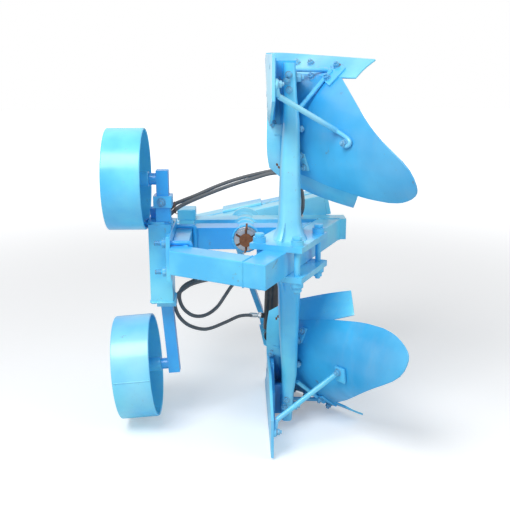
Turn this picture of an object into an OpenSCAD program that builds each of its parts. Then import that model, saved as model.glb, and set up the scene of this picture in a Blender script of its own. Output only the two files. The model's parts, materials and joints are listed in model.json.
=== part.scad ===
// Reversible plough: a tractor mounted, hydraulically turned plough with one pair of bodies.
// X points right, Y points to the tractor, Z points up. The frame turns about an axis along Y.
// The hitch is shown rolled about that axis, as the plough stands parked on its wheel and lower body.

/* [Frame tubes] */
// Side of the square frame tube
tube = 100; // [90:1:110]
// Wall of the frame tubes
tube_wall = 8; // [5:1:12]
// Width of the flat side beam that carries the wheels
side_beam_w = 70; // [60:1:80]
// Distance of the side beam's left face from the turnover axis
side_beam_x = 310; // [300:1:320]
// Angle of the main beam to the direction of travel
main_angle = 24.9; // [23:0.1:27]
// Angle of the rear beam to the square of travel
rear_angle = 31.6; // [29:0.1:34]
// Right end of the front cross beam
front_beam_right = 478; // [465:1:500]

/* [Turnover] */
// Angle between the hitch and the frame as they stand
hitch_roll = 11.9; // [10:0.1:14]
// Diameter of the turnover shaft
shaft_d = 64; // [60:1:68]
// Running clearance of the shaft in its bushes, on the radius
shaft_fit = 0.05; // [0.02:0.01:0.1]
// Outside diameter of the hub sleeve
hub_d = 118; // [112:1:122]
// Wall of the bronze bushes
bush_wall = 8; // [6:1:10]
// Diameter of the castle nut
nut_d = 104; // [98:1:108]
// Radius of the crank that the cylinder turns
crank_r = 145; // [140:1:150]
// Distance of the cylinder base pin from the turnover axis
base_r = 593; // [588:1:600]

/* [Cylinder] */
// Outside diameter of the barrel
barrel_d = 70; // [64:1:71]
// Length of the barrel
barrel_len = 330; // [320:1:340]
// Diameter of the rod
rod_d = 36; // [30:1:40]
// Diameter of the pins at both ends
cyl_pin_d = 30; // [25:1:32]

/* [Hitch] */
// Length of the hitch beams between the end plates
hitch_w = 810; // [780:1:840]
// Diameter of the lower link pins
link_pin_d = 28; // [27:0.1:29]
// Length of a lower link pin outside its plate
link_pin_len = 95; // [85:1:105]
// Diameter of the top link hole
top_hole_d = 25.5; // [25:0.1:26]
// Height of the top link hole above the lower link pins
mast_h = 610; // [600:1:620]
// Thickness of the mast bars
mast_t = 25; // [20:1:30]

/* [Bodies] */
// Depth from the turnover axis to the share's cutting edge
share_depth = 806; // [800:1:812]
// Thickness of the mouldboard, the shin and the share
board_t = 8; // [6:0.5:10]
// Height of the landside at its heel
landside_h = 170; // [160:1:180]
// Height of the landside behind the shin
landside_rise = 269; // [260:1:280]
// Thickness of the landside
landside_t = 12; // [10:1:14]
// Diameter of the four bolts that clamp the feet on the main beam
clamp_bolt_d = 24; // [20:1:24]

/* [Gauge wheels] */
// Outside radius of the upper wheel
upper_r = 210; // [205:1:214]
// Outside radius of the lower wheel
lower_r = 229; // [224:1:232]
// Width of the upper rim
upper_w = 155; // [150:1:165]
// Width of the lower rim
lower_w = 163; // [155:1:170]
// Thickness of the rims
rim_t = 8; // [5:1:10]
// Side of the square wheel arms
arm_s = 50; // [46:1:50]
// Lean of the lower arm
arm_lean = 4.4; // [4:0.1:4.6]
// Diameter of the stub axles
axle_d = 35; // [30:1:38]

/* [Hoses] */
// Outside diameter of the hoses
hose_d = 17; // [15:1:18]

/* [Hidden] */
$fn = 48;
eps = 0.01;
seat = 0.3;

half = tube / 2;
main_dir = [sin(main_angle), cos(main_angle)];
main_left = [-cos(main_angle), sin(main_angle)];
rear_dir = [-cos(rear_angle), sin(rear_angle)];
rear_fwd = [sin(rear_angle), cos(rear_angle)];
// The corner where the rear beam's back face meets the main beam's right face
corner = [66, -619];
rear_cross_y = 28.5;
front_cross_y = 207.5;
front_cross_end = front_cross_y + tube;
head_y = 383;
front_beam_y = 505;
link_z = 55;
link_y = 540;
side_in = -side_beam_x + side_beam_w;
cyl_y = 345;
cyl_rest = [crank_r, 0];
cyl_base = [base_r * sin(hitch_roll), -base_r * cos(hitch_roll)];
cyl_len = norm(cyl_base - cyl_rest);
cyl_tilt = atan2(cyl_base[0] - cyl_rest[0], -(cyl_base[1] - cyl_rest[1]));
bracket_y = cyl_y + barrel_d / 2 + 7;
nut_h = 28;
washer_t = 6;
pin_in = 4.5;
post_y = -153;
arm_gap = 16;
near_arm_y = post_y - (arm_s + arm_gap) / 2;
far_arm_y = post_y + (arm_s + arm_gap) / 2;
sleeve_left = -409;
sleeve_right = -315;
sleeve_top = 119;
sleeve_foot = -220;
sleeve_wall = 5;
sleeve_half_y = 65;
upper_arm_x = -346;
upper_axle_z = 307;
upper_rim_x = -414;
lower_pivot = [-328, far_arm_y, -535];
lower_rim_gap = 80;
arm_end = 38;
blue = [0.36, 0.74, 0.96];
deep_blue = [0.16, 0.5, 0.88];
steel = [0.66, 0.67, 0.68];
rust = [0.45, 0.27, 0.2];
black = [0.1, 0.1, 0.12];

// Puts the whole plough with the middle of the lower link axis at the origin
module placed() {
    translate(-[-link_z * sin(hitch_roll), link_y, link_z * cos(hitch_roll)]) children();
}

// Turns the hitch to the roll at which it stands
module hitch() {
    placed() rotate([0, -hitch_roll, 0]) children();
}

// Puts a body above the frame, or below it as the mirror image
module body(upper) {
    placed() mirror([0, 0, upper ? 0 : 1]) children();
}

// Lays children that stand on Z along the line from a to b
module along(a, b) {
    d = b - a;
    translate(a) rotate([0, acos(d[2] / norm(d)), atan2(d[1], d[0])]) children();
}

// A hollow tube with a plan outline, open at the ends where cap cuts reach
module box_tube(outline, inner, h, wall) {
    difference() {
        translate([0, 0, -h / 2]) linear_extrude(h) polygon(outline);
        translate([0, 0, -h / 2 + wall]) linear_extrude(h - 2 * wall) polygon(inner);
    }
}

// A straight box between two corners
module slab(a, b) {
    translate(a) cube(b - a);
}

// A hexagon head or nut across flats af
module hex_head(af, h) {
    cylinder(h = h, d = af / cos(30), $fn = 6);
}

// Main beam outline in plan: right and left faces, cut by the rear beam's back line and the front cross beam
function on_line(p, dir, y) = [p[0] + dir[0] * (y - p[1]) / dir[1], y];
function cross2(a, b) = a[0] * b[1] - a[1] * b[0];
function meet(p, u, q, v) = p + u * cross2(q - p, v) / cross2(u, v);
main_left_p = corner + main_left * tube;
rear_front_p = corner + rear_fwd * tube;
main_in_right = corner + main_left * tube_wall;
main_in_left = corner + main_left * (tube - tube_wall);
rear_in_p = corner + rear_fwd * tube_wall;
rear_in_front = corner + rear_fwd * (tube - tube_wall);

module main_beam() {
    rear_cut = meet(main_left_p, main_dir, corner, rear_dir);
    color(blue) placed() box_tube(
        [corner, on_line(corner, main_dir, front_cross_y), on_line(main_left_p, main_dir, front_cross_y), rear_cut],
        [meet(main_in_right, main_dir, rear_in_p, rear_dir), on_line(main_in_right, main_dir, front_cross_y + 1),
            on_line(main_in_left, main_dir, front_cross_y + 1), meet(main_in_left, main_dir, rear_in_p, rear_dir)],
        tube, tube_wall);
}

module rear_beam() {
    left = -side_beam_x;
    back_right = meet(main_left_p, main_dir, corner, rear_dir);
    front_right = meet(main_left_p, main_dir, rear_front_p, rear_dir);
    function at_x(p, x) = [x, p[1] + rear_dir[1] * (x - p[0]) / rear_dir[0]];
    color(blue) placed() box_tube(
        [back_right, front_right, at_x(rear_front_p, left), at_x(corner, left)],
        [meet(main_left_p - main_left, main_dir, rear_in_p, rear_dir),
            meet(main_left_p - main_left, main_dir, rear_in_front, rear_dir),
            at_x(rear_in_front, left + tube_wall), at_x(rear_in_p, left + tube_wall)],
        tube, tube_wall);
}

module side_beam() {
    function rear_y(x) = rear_front_p[1] + rear_dir[1] * (x - rear_front_p[0]) / rear_dir[0];
    left = -side_beam_x;
    color(blue) placed() box_tube(
        [[left, rear_y(left)], [side_in, rear_y(side_in)], [side_in, front_cross_y], [left, front_cross_y]],
        [[left + tube_wall, rear_y(left + tube_wall) - 1], [side_in - tube_wall, rear_y(side_in - tube_wall) - 1],
            [side_in - tube_wall, front_cross_y + 1], [left + tube_wall, front_cross_y + 1]],
        tube, tube_wall);
}

// The two cross beams carry the hub sleeve through round holes
module cross_beam(left, right_a, right_b, y, open_right) {
    difference() {
        box_tube([[left, y], [right_a, y], [right_b, y + tube], [left, y + tube]],
            [[left + (open_right ? -1 : tube_wall), y + tube_wall],
                [right_a + (open_right ? 1 : -tube_wall), y + tube_wall],
                [right_b + (open_right ? 1 : -tube_wall), y + tube - tube_wall],
                [left + (open_right ? -1 : tube_wall), y + tube - tube_wall]],
            tube, tube_wall);
        translate([0, y - 1, 0]) rotate([-90, 0, 0]) cylinder(h = tube + 2, d = hub_d);
    }
}

module cross_beam_front() {
    color(blue) placed() cross_beam(-side_beam_x, front_beam_right, front_beam_right, front_cross_y, false);
}

module cross_beam_rear() {
    color(deep_blue) placed() cross_beam(side_in, on_line(main_left_p, main_dir, rear_cross_y)[0],
        on_line(main_left_p, main_dir, rear_cross_y + tube)[0], rear_cross_y, true);
}

module hub_sleeve() {
    bore = shaft_d + 2 * bush_wall;
    color(blue) placed() translate([0, rear_cross_y, 0]) rotate([-90, 0, 0]) difference() {
        cylinder(h = front_cross_end - rear_cross_y, d = hub_d);
        translate([0, 0, -1]) cylinder(h = front_cross_end - rear_cross_y + 2, d = bore);
    }
}

module bush(y) {
    len = 90;
    color([0.72, 0.55, 0.25]) placed() translate([0, y, 0]) rotate([-90, 0, 0]) difference() {
        cylinder(h = len, d = shaft_d + 2 * bush_wall);
        translate([0, 0, -1]) cylinder(h = len + 2, d = shaft_d);
    }
}
module bush_rear() { bush(rear_cross_y); }
module bush_front() { bush(front_cross_end - 90); }

module turnover_shaft() {
    r = shaft_d / 2 - shaft_fit;
    back = rear_cross_y - washer_t - seat - nut_h - 6;
    flange_y = front_cross_end + 1;
    color(rust) placed() rotate([-90, 0, 0]) difference() {
        union() {
            translate([0, 0, back]) cylinder(h = nut_h + 6, r = r - 2);
            translate([0, 0, back + nut_h + 6]) cylinder(h = head_y - back - nut_h - 6, r = r);
            translate([0, 0, head_y - 20]) cylinder(h = 20, d = 150);
            translate([0, 0, flange_y]) cylinder(h = 20, d = 92);
        }
        translate([0, 0, back - 1]) cylinder(h = 4, d = 12);
        translate([0, 50, back + 6 + pin_in]) rotate([90, 0, 0]) cylinder(h = 100, d = 8, $fn = 16);
    }
}

module thrust_washer() {
    color(steel) placed() translate([0, rear_cross_y - seat - washer_t, 0]) rotate([-90, 0, 0]) difference() {
        cylinder(h = washer_t, d = nut_d + 4);
        translate([0, 0, -1]) cylinder(h = washer_t + 2, d = shaft_d + 0.5);
    }
}

module castle_nut() {
    slots = 6;
    y = rear_cross_y - seat - washer_t - nut_h;
    color(steel) placed() translate([0, y, 0]) rotate([-90, 0, 0]) difference() {
        union() {
            translate([0, 0, 9]) cylinder(h = nut_h - 9, d = nut_d);
            cylinder(h = 9.5, d = nut_d - 12);
        }
        translate([0, 0, -1]) cylinder(h = nut_h + 2, d = shaft_d - 4);
        for (i = [0 : slots - 1]) rotate(i * 360 / slots + 90) translate([20, -5, -1]) cube([40, 10, 10.5]);
    }
}

module split_pin() {
    y = rear_cross_y - seat - washer_t - nut_h + pin_in;
    color(rust) placed() translate([0, y, 0]) {
        translate([0, 0, -50]) cylinder(h = 106, d = 6, $fn = 16);
        translate([0, 0, 60]) rotate([0, 90, 0]) rotate_extrude($fn = 24) translate([6, 0]) circle(d = 5, $fn = 14);
    }
}

module turnover_crank() {
    plate_t = 12;
    color(blue) placed() translate([0, front_cross_end, 0]) difference() {
        union() {
            slab([crank_r - 55, 0, -45], [crank_r + 55, plate_t, 45]);
            translate([crank_r, 0, 0]) rotate([-90, 0, 0]) cylinder(h = 68, d = cyl_pin_d - 0.1);
        }
        translate([crank_r, 63, -25]) cylinder(h = 50, d = 5, $fn = 16);
    }
}

// Hitch
module head_beam(y, top, w) {
    difference() {
        slab([-w / 2, y, top - tube], [w / 2, y + tube, top]);
        slab([-w / 2 - 1, y + tube_wall, top - tube + tube_wall],
            [w / 2 + 1, y + tube - tube_wall, top - tube_wall]);
    }
}
module head_rear_beam() { color(blue) hitch() head_beam(head_y, half, hitch_w); }
module head_front_beam() {
    color(blue) hitch() head_beam(front_beam_y, half, hitch_w);
}

module link_plate(side) {
    t = 20;
    x = side * hitch_w / 2;
    color(blue) hitch() translate([side > 0 ? x : x - t, 0, 0]) rotate([90, 0, 90]) linear_extrude(t) difference() {
        polygon([[head_y, -half], [head_y, half - 6], [head_y + 30, half + 12], [link_y - 36, link_z + 45],
            [link_y + 36, link_z + 45], [front_beam_y + tube, half - 5], [front_beam_y + tube, -half]]);
        translate([link_y, link_z]) circle(d = link_pin_d);
    }
}
module link_plate_left() { link_plate(-1); }
module link_plate_right() { link_plate(1); }

module lower_link_pin(side) {
    t = 20;
    shoulder = 8;
    color(steel) hitch() translate([side * hitch_w / 2, link_y, link_z]) rotate([0, side * 90, 0])
        difference() {
            union() {
                cylinder(h = t + shoulder + link_pin_len, d = link_pin_d);
                translate([0, 0, t]) cylinder(h = shoulder, d = link_pin_d + 16);
            }
            translate([-25, 0, t + shoulder + link_pin_len - 14]) rotate([0, 90, 0])
                cylinder(h = 50, d = 11, $fn = 20);
        }
}
module lower_link_pin_left() { lower_link_pin(-1); }
module lower_link_pin_right() { lower_link_pin(1); }

module top_plate() {
    color(blue) hitch() slab([-103, head_y + 97, half], [98, front_beam_y + 95, half + 12]);
}

mast_foot_z = -half;
mast_tip_z = -base_r - 66;
mast_hole_z = link_z - mast_h;
mast_top_half = 87;
mast_low_half = 38;

// One mast bar: a flat bar on edge, from under the hitch beams in to the top link
module mast_bar(side) {
    y0 = 440;
    w = 100;
    color(blue) hitch() mirror([side < 0 ? 1 : 0, 0, 0]) difference() {
        translate([0, y0 + w, 0]) rotate([90, 0, 0]) linear_extrude(w) polygon([
            [mast_top_half - mast_t, mast_foot_z], [mast_top_half, mast_foot_z],
            [mast_low_half + 17, -363], [mast_low_half, -500], [mast_low_half, mast_tip_z],
            [mast_low_half - mast_t, mast_tip_z], [mast_low_half - mast_t, -500],
            [mast_low_half + 17 - mast_t, -363]]);
        translate([mast_low_half - mast_t - 5, y0 + w / 2, mast_hole_z]) rotate([0, 90, 0])
            cylinder(h = mast_t + 10, d = top_hole_d);
    }
}
module mast_bar_left() { mast_bar(-1); }
module mast_bar_right() { mast_bar(1); }

// Plate across the mast that holds the cylinder base pin
module cylinder_bracket() {
    t = 16;
    y = bracket_y;
    color(blue) hitch() difference() {
        union() {
            translate([0, y + t, 0]) rotate([90, 0, 0]) linear_extrude(t) polygon([
                [-mast_low_half - 6, 45 - base_r], [mast_low_half + 6, 45 - base_r], [mast_low_half + 6, mast_tip_z + 2],
                [mast_low_half - 10, mast_tip_z - 12], [10 - mast_low_half, mast_tip_z - 12],
                [-mast_low_half - 6, mast_tip_z + 2]]);
            for (s = [-1, 1]) slab([s * 25.5 - 12.5, y + t - eps, -base_r - 57], [s * 25.5 + 12.5, 440, 18 - base_r]);
        }
        translate([0, y - 1, -base_r]) rotate([-90, 0, 0]) cylinder(h = t + 2, d = cyl_pin_d + 1);
    }
}

// Turnover cylinder, built along its own axis from the crank pin down
module cylinder_axis() {
    placed() translate([cyl_rest[0], cyl_y, cyl_rest[1]]) rotate([0, -cyl_tilt, 0]) children();
}
eye_w = 46;
eye_gap = 35.7;
barrel_end = -cyl_len + eye_gap;
barrel_top = barrel_end + barrel_len;
ports = [barrel_top - 40, barrel_end + 67];
port_reach = barrel_d / 2 + 12;

module cylinder_rod() {
    color(steel) cylinder_axis() difference() {
        union() {
            rotate([90, 0, 0]) translate([0, 0, -eye_w / 2]) cylinder(h = eye_w, d = cyl_pin_d + 34);
            translate([0, 0, barrel_top - 70]) cylinder(h = 50 - barrel_top, d = rod_d);
            translate([0, 0, barrel_top - 72]) cylinder(h = 36, d = barrel_d - 10.4);
        }
        rotate([90, 0, 0]) translate([0, 0, -eye_w / 2 - 1]) cylinder(h = eye_w + 2, d = cyl_pin_d);
    }
}

module cylinder_barrel() {
    color(black) cylinder_axis() difference() {
        union() {
            translate([0, 0, barrel_end]) cylinder(h = barrel_len, d = barrel_d);
            translate([0, 0, -cyl_len]) rotate([90, 0, 0]) translate([0, 0, -eye_w / 2])
                cylinder(h = eye_w, d = cyl_pin_d + 30);
            translate([0, 0, -cyl_len + 18]) cylinder(h = eye_gap - 18 + eps, d = 42);
            for (z = ports) translate([0, 0, z]) rotate([0, -90, 0]) cylinder(h = port_reach, d = 26);
        }
        translate([0, 0, barrel_end + 20]) cylinder(h = barrel_len - 50, d = barrel_d - 10);
        translate([0, 0, barrel_top - 31]) cylinder(h = 40, d = rod_d + 0.1);
        translate([0, 0, -cyl_len]) rotate([90, 0, 0]) translate([0, 0, -eye_w / 2 - 1])
            cylinder(h = eye_w + 2, d = cyl_pin_d);
    }
}

module base_pin() {
    reach = bracket_y - seat - cyl_y;
    tail = eye_w / 2 + 12;
    color(steel) cylinder_axis() translate([0, 0, -cyl_len]) rotate([90, 0, 0]) difference() {
        translate([0, 0, -reach]) cylinder(h = reach + tail, d = cyl_pin_d - 0.1);
        translate([-30, 0, tail - 5]) rotate([0, 90, 0]) cylinder(h = 60, d = 5, $fn = 16);
    }
}

// Bodies. The working surface is one height field: y over x and the depth z from the turnover axis.
wall_y = 281;
wall_slope = 0.98;
hollow = 387;
hollow_z = 365;
hollow_h = 345;
function board_y(x, z) = wall_y - wall_slope * (x - 100)
    - hollow * (1 - pow(abs((share_depth - z - hollow_z) / hollow_h), 2.2)) * (1 + 0.0006 * (x - 400));
function board_p(x, z) = [x, board_y(x, z), z];
function board_n(x, z) = let (
    gx = (board_y(x + 1, z) - board_y(x - 1, z)) / 2,
    gz = (board_y(x, z + 1) - board_y(x, z - 1)) / 2,
    n = [-gx, 1, -gz]) n / norm(n);

// Where the back of the board lies at x and z, less a small gap
function back_y(x, z, gap = 0.6) = let (n = board_n(x, z)) board_y(x, z) - (board_t + gap) / n[1];

// A point on a smooth curve through the points of a list
function pick(p, i) = p[max(0, min(len(p) - 1, i))];
function curve(p, t) = let (
    s = t * (len(p) - 1), i = min(len(p) - 2, floor(s)), f = s - i,
    a = pick(p, i - 1), b = pick(p, i), c = pick(p, i + 1), d = pick(p, i + 2))
    b + 0.5 * f * ((c - a) + f * ((2 * a - 5 * b + 4 * c - d) + f * (3 * (b - c) + d - a)));

// A patch between four edge curves, given in x and z
function patch_xz(bottom, top, left, right, u, v) =
    (1 - v) * curve(bottom, u) + v * curve(top, u) + (1 - u) * curve(left, v) + u * curve(right, v)
    - (1 - u) * (1 - v) * bottom[0] - u * (1 - v) * bottom[len(bottom) - 1]
    - (1 - u) * v * top[0] - u * v * top[len(top) - 1];

// A sheet of thickness t behind the surface points, from a grid of nu by nv cells
module sheet(front, back, nu, nv) {
    m = (nu + 1) * (nv + 1);
    function id(i, j) = i + j * (nu + 1);
    faces = concat(
        [for (j = [0 : nv - 1], i = [0 : nu - 1]) each [[id(i, j), id(i, j + 1), id(i + 1, j + 1)],
            [id(i, j), id(i + 1, j + 1), id(i + 1, j)]]],
        [for (j = [0 : nv - 1], i = [0 : nu - 1]) each [[m + id(i, j), m + id(i + 1, j + 1), m + id(i, j + 1)],
            [m + id(i, j), m + id(i + 1, j), m + id(i + 1, j + 1)]]],
        [for (i = [0 : nu - 1]) each [[id(i, 0), id(i + 1, 0), m + id(i + 1, 0)], [id(i, 0), m + id(i + 1, 0), m + id(i, 0)],
            [id(i + 1, nv), id(i, nv), m + id(i, nv)], [id(i + 1, nv), m + id(i, nv), m + id(i + 1, nv)]]],
        [for (j = [0 : nv - 1]) each [[id(0, j + 1), id(0, j), m + id(0, j)], [id(0, j + 1), m + id(0, j), m + id(0, j + 1)],
            [id(nu, j), id(nu, j + 1), m + id(nu, j + 1)], [id(nu, j), m + id(nu, j + 1), m + id(nu, j)]]]);
    polyhedron(points = concat(front, back), faces = faces);
}

// A sheet on the working surface, with its back face t behind
module board_patch(bottom, top, left, right, nu, nv, lift = 0, t = board_t) {
    xz = [for (j = [0 : nv], i = [0 : nu]) patch_xz(bottom, top, left, right, i / nu, j / nv)];
    sheet([for (q = xz) board_p(q[0], q[1]) + lift * board_n(q[0], q[1])],
        [for (q = xz) board_p(q[0], q[1]) + (lift - t) * board_n(q[0], q[1])], nu, nv);
}

// A place at x whose height is measured from the cutting edge
function up(x, h) = [x, share_depth - h];

shin_x = 97;
seam_x = 151;
seam_h = 78;
seam_z = share_depth - seam_h;
board_right = [up(392, 99.2), up(445, 227), up(496, 307), up(577, 395), up(612, 466), up(614, 506), up(585, 538),
    up(545, 549)];
board_top = [up(seam_x + 0.4, 484), up(232, 484), up(325, 514), up(425, 537), up(485, 547), up(545, 549)];

module mouldboard(upper) {
    color(blue) body(upper) board_patch(
        [up(seam_x + 0.4, seam_h + 4), board_right[0]], board_top, [up(seam_x + 0.4, seam_h + 4), board_top[0]],
        board_right, 18, 20);
}
module mouldboard_upper() { mouldboard(true); }
module mouldboard_lower() { mouldboard(false); }

module shin(upper) {
    color(blue) body(upper) board_patch(
        [up(shin_x + 8, seam_h + 0.8), up(seam_x - 0.4, seam_h + 4)], [up(shin_x + 10, 476), up(seam_x - 0.4, 510)],
        [up(shin_x + 8, seam_h + 0.8), up(shin_x, 286), up(shin_x, 406), up(shin_x + 10, 476)],
        [up(seam_x - 0.4, seam_h + 4), up(seam_x - 0.4, 510)], 4, 14);
}
module shin_upper() { shin(true); }
module shin_lower() { shin(false); }

module share(upper) {
    color(blue) body(upper) board_patch(
        [up(shin_x + 6, 0), up(180, 0), up(350, 13), up(528, 28)],
        [up(shin_x + 8, seam_h), up(200, 84.8), up(300, 91.9), up(392, 98.4), up(440, 98)],
        [up(shin_x + 6, 0), up(shin_x + 8, seam_h)], [up(528, 28), up(480, 61), up(440, 98)], 16, 5);
}
module share_upper() { share(true); }
module share_lower() { share(false); }

// A solid through rounded sections, each given as height, centre x, centre y, half width, half depth
module loft(sections, sides = 24) {
    n = len(sections);
    function ring(s) = [for (k = [0 : sides - 1]) let (a = 360 * k / sides, c = cos(a), d = sin(a))
        [s[1] + s[3] * sign(c) * pow(abs(c), 0.6), s[2] + s[4] * sign(d) * pow(abs(d), 0.6), s[0]]];
    pts = [for (s = sections) each ring(s)];
    faces = concat([[for (k = [0 : sides - 1]) k]],
        [for (j = [0 : n - 2], k = [0 : sides - 1]) let (q = (k + 1) % sides)
            each [[j * sides + k, (j + 1) * sides + k, (j + 1) * sides + q],
                [j * sides + k, (j + 1) * sides + q, j * sides + q]]],
        [[for (k = [0 : sides - 1]) (n - 1) * sides + sides - 1 - k]]);
    polyhedron(points = pts, faces = faces);
}

foot_c = [178, -268];
bolt_along = 126.5;
bolt_across = 81;
foot_t = 24;
boss_top = half + foot_t + 20;

// Puts children at the four clamp bolts
module at_foot_bolts() {
    for (a = [-1, 1], b = [-1, 1])
        translate(concat(foot_c + a * bolt_along * main_dir + b * bolt_across * main_left, 0)) children();
}

module leg(upper) {
    base = half + foot_t;
    color(blue) body(upper) {
        difference() {
            union() {
                translate([foot_c[0], foot_c[1], half]) rotate(-main_angle) translate([-112, -157, 0])
                    cube([224, 314, foot_t]);
                at_foot_bolts() translate([0, 0, base - 5]) cylinder(h = boss_top - base + 5, d = 52, $fn = 32);
            }
            at_foot_bolts() cylinder(h = 200, d = clamp_bolt_d + 1, $fn = 32);
        }
        loft([[base - 3, 178, -268, 72, 84], [base + 25, 178, -268, 56, 70], [140, 177, -266, 47, 62],
            [352, 178, -250, 41, 56], [share_depth - 260, 184, -214, 33, 52], [share_depth - 166, 180, -192, 27, 50],
            [share_depth - 35, 175, -190, 24, 48]]);
        for (s = [-1, 1]) translate([foot_c[0], foot_c[1], base - 1]) rotate(s * 90 - main_angle) translate([0, 5, 0])
            rotate([90, 0, 0]) linear_extrude(10) polygon([[40, 0], [104, 0], [104, 8], [48, 96], [40, 96]]);
    }
}
module leg_upper() { leg(true); }
module leg_lower() { leg(false); }

module foot_bolts() {
    head = 15;
    color(steel) placed() at_foot_bolts() {
        translate([0, 0, -boss_top - 30]) cylinder(h = 2 * boss_top + 30, d = clamp_bolt_d, $fn = 32);
        translate([0, 0, boss_top]) hex_head(36, head);
        translate([0, 0, -boss_top - 20]) hex_head(36, 20);
    }
}

// The frog joins the leg, the landside and the boards
frog_x = 106;
frog_t = 16;
module frog(upper) {
    side = frog_x + frog_t;
    lip_z = share_depth - 84;
    color(deep_blue) body(upper) {
        difference() {
            translate([frog_x, 0, 0]) rotate([90, 0, 90]) linear_extrude(frog_t) polygon(concat(
                [up(-228, 166), up(-228, 16), up(100, 16), up(150, 36)],
                [for (h = [46 : 20 : 266]) up(back_y(side, share_depth - h, 1.4), h)], [up(-120, 266), up(-170, 206)]));
            translate([frog_x - 5, -60, share_depth - 116]) rotate([0, 90, 0]) cylinder(h = frog_t + 10, d = 70, $fn = 40);
        }
        slab([side - eps, -141.5, share_depth - 166], [205, -121, share_depth - 26]);
        translate([0, 0, lip_z]) linear_extrude(10) polygon([[side - eps, -121 - eps], [212, -121 - eps],
            for (x = [212 : -15 : side - eps]) [x, back_y(x, lip_z, 1.2)], [side - eps, back_y(side, lip_z, 1.2)]]);
    }
}
module frog_upper() { frog(true); }
module frog_lower() { frog(false); }

module landside(upper) {
    heel = -501;
    x = 93;
    color(blue) body(upper) translate([x, 0, 0]) rotate([90, 0, 90]) linear_extrude(landside_t) polygon(concat(
        [up(heel, 0), up(heel, landside_h), up(-268, landside_rise), up(-120, landside_rise)],
        [for (h = [landside_rise : -19 : 10]) up(back_y(x + landside_t, share_depth - h, 1), h)], [up(150, 0)]));
}
module landside_upper() { landside(true); }
module landside_lower() { landside(false); }

// A pad that lies on the back of the board, round a point
module pad(x, z, w, h, t) {
    board_patch([[x - w / 2, z + h / 2], [x + w / 2, z + h / 2]], [[x - w / 2, z - h / 2], [x + w / 2, z - h / 2]],
        [[x - w / 2, z + h / 2], [x - w / 2, z - h / 2]], [[x + w / 2, z + h / 2], [x + w / 2, z - h / 2]],
        3, 3, -board_t - 0.6, t);
}
function on_back(x, z, depth) = board_p(x, z) - (board_t + 0.6 + depth) * board_n(x, z);

// Trash board: a curved plate above the mouldboard, and the flat arm that carries it
trash_z = share_depth - 560;
trash_low = [[237, -120, trash_z], [345, -192, trash_z + 6], [456, -275, trash_z + 5]];
trash_high = [[294, -156, trash_z - 25], [370, -185, trash_z - 43], [453, -218, trash_z - 64]];
trash_back = [-3.5, -board_t, 0];
function trash(u, v) = (1 - v) * curve(trash_low, u) + v * curve(trash_high, u);
module trash_board(upper) {
    nu = 12;
    nv = 4;
    arm_z = share_depth - 461;
    arm_from = on_back(250, arm_z, 5);
    arm_to = trash(0.3, 0.35) + 1.6 * trash_back;
    front = [for (j = [0 : nv], i = [0 : nu]) trash(i / nu, j / nv)];
    seat_pts = [for (j = [0 : 2], i = [0 : 2]) trash(0.2 + 0.1 * i, 0.15 + 0.2 * j)];
    color(blue) body(upper) {
        sheet(front, [for (p = front) p + trash_back], nu, nv);
        sheet([for (p = seat_pts) p + 0.9 * trash_back], [for (p = seat_pts) p + 2 * trash_back], 2, 2);
        pad(250, arm_z, 40, 40, 9);
        hull() {
            translate(arm_from) sphere(4, $fn = 12);
            translate(arm_from + [0, -14, -30]) sphere(4, $fn = 12);
            translate(arm_from + [26, -22, -34]) sphere(4, $fn = 12);
        }
        hull() {
            translate(arm_from + [0, -14, -30]) sphere(4, $fn = 12);
            translate(arm_from + [26, -22, -34]) sphere(4, $fn = 12);
            translate(arm_to + [-6, -3, 6]) sphere(4, $fn = 12);
            translate(arm_to + [6, -3, -4]) sphere(4, $fn = 12);
        }
    }
}
module trash_board_upper() { trash_board(true); }
module trash_board_lower() { trash_board(false); }

// Tube from the heel of the landside to the wing of the mouldboard
module brace(upper) {
    side = 105.4;
    heel_z = share_depth - 108;
    wing_z = share_depth - 343;
    a = [side + 13, -458, heel_z - 42];
    b = on_back(391, wing_z, 14);
    color(blue) body(upper) {
        along(a, b) cylinder(h = norm(b - a), d = 22, $fn = 24);
        hull() {
            translate([side, -480, heel_z]) rotate([0, 90, 0]) cylinder(h = 9, d = 40, $fn = 24);
            translate([side, -462, heel_z - 44]) rotate([0, 90, 0]) cylinder(h = 9, d = 30, $fn = 24);
        }
        pad(391, wing_z, 40, 52, 9);
        along(on_back(391, wing_z, 4), on_back(391, wing_z, 26)) cylinder(h = 22, d = 28, $fn = 24);
    }
}
module brace_upper() { brace(true); }
module brace_lower() { brace(false); }

// Cross rod and flat stay behind the share
module stay(upper) {
    low_z = share_depth - 64;
    high_z = share_depth - 68;
    from = [frog_x + frog_t + 1.1, -60, low_z + 0.5];
    rod_end = [326, back_y(326, low_z) - 22, low_z];
    bar_end = [352, back_y(352, high_z) - 24, high_z];
    bar_foot = [221, -205, share_depth - 208];
    color(blue) body(upper) {
        along(from, rod_end) cylinder(h = norm(rod_end - from), d = 18, $fn = 20);
        pad(340, high_z, 44, 20, 8);
        hull() {
            for (q = [rod_end, bar_end]) translate(q) sphere(8, $fn = 12);
            translate(on_back(340, high_z, 5)) sphere(4, $fn = 12);
        }
        along(bar_foot, bar_end) cylinder(h = norm(bar_end - bar_foot), d = 18, $fn = 20);
    }
}
module stay_upper() { stay(true); }
module stay_lower() { stay(false); }

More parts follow.
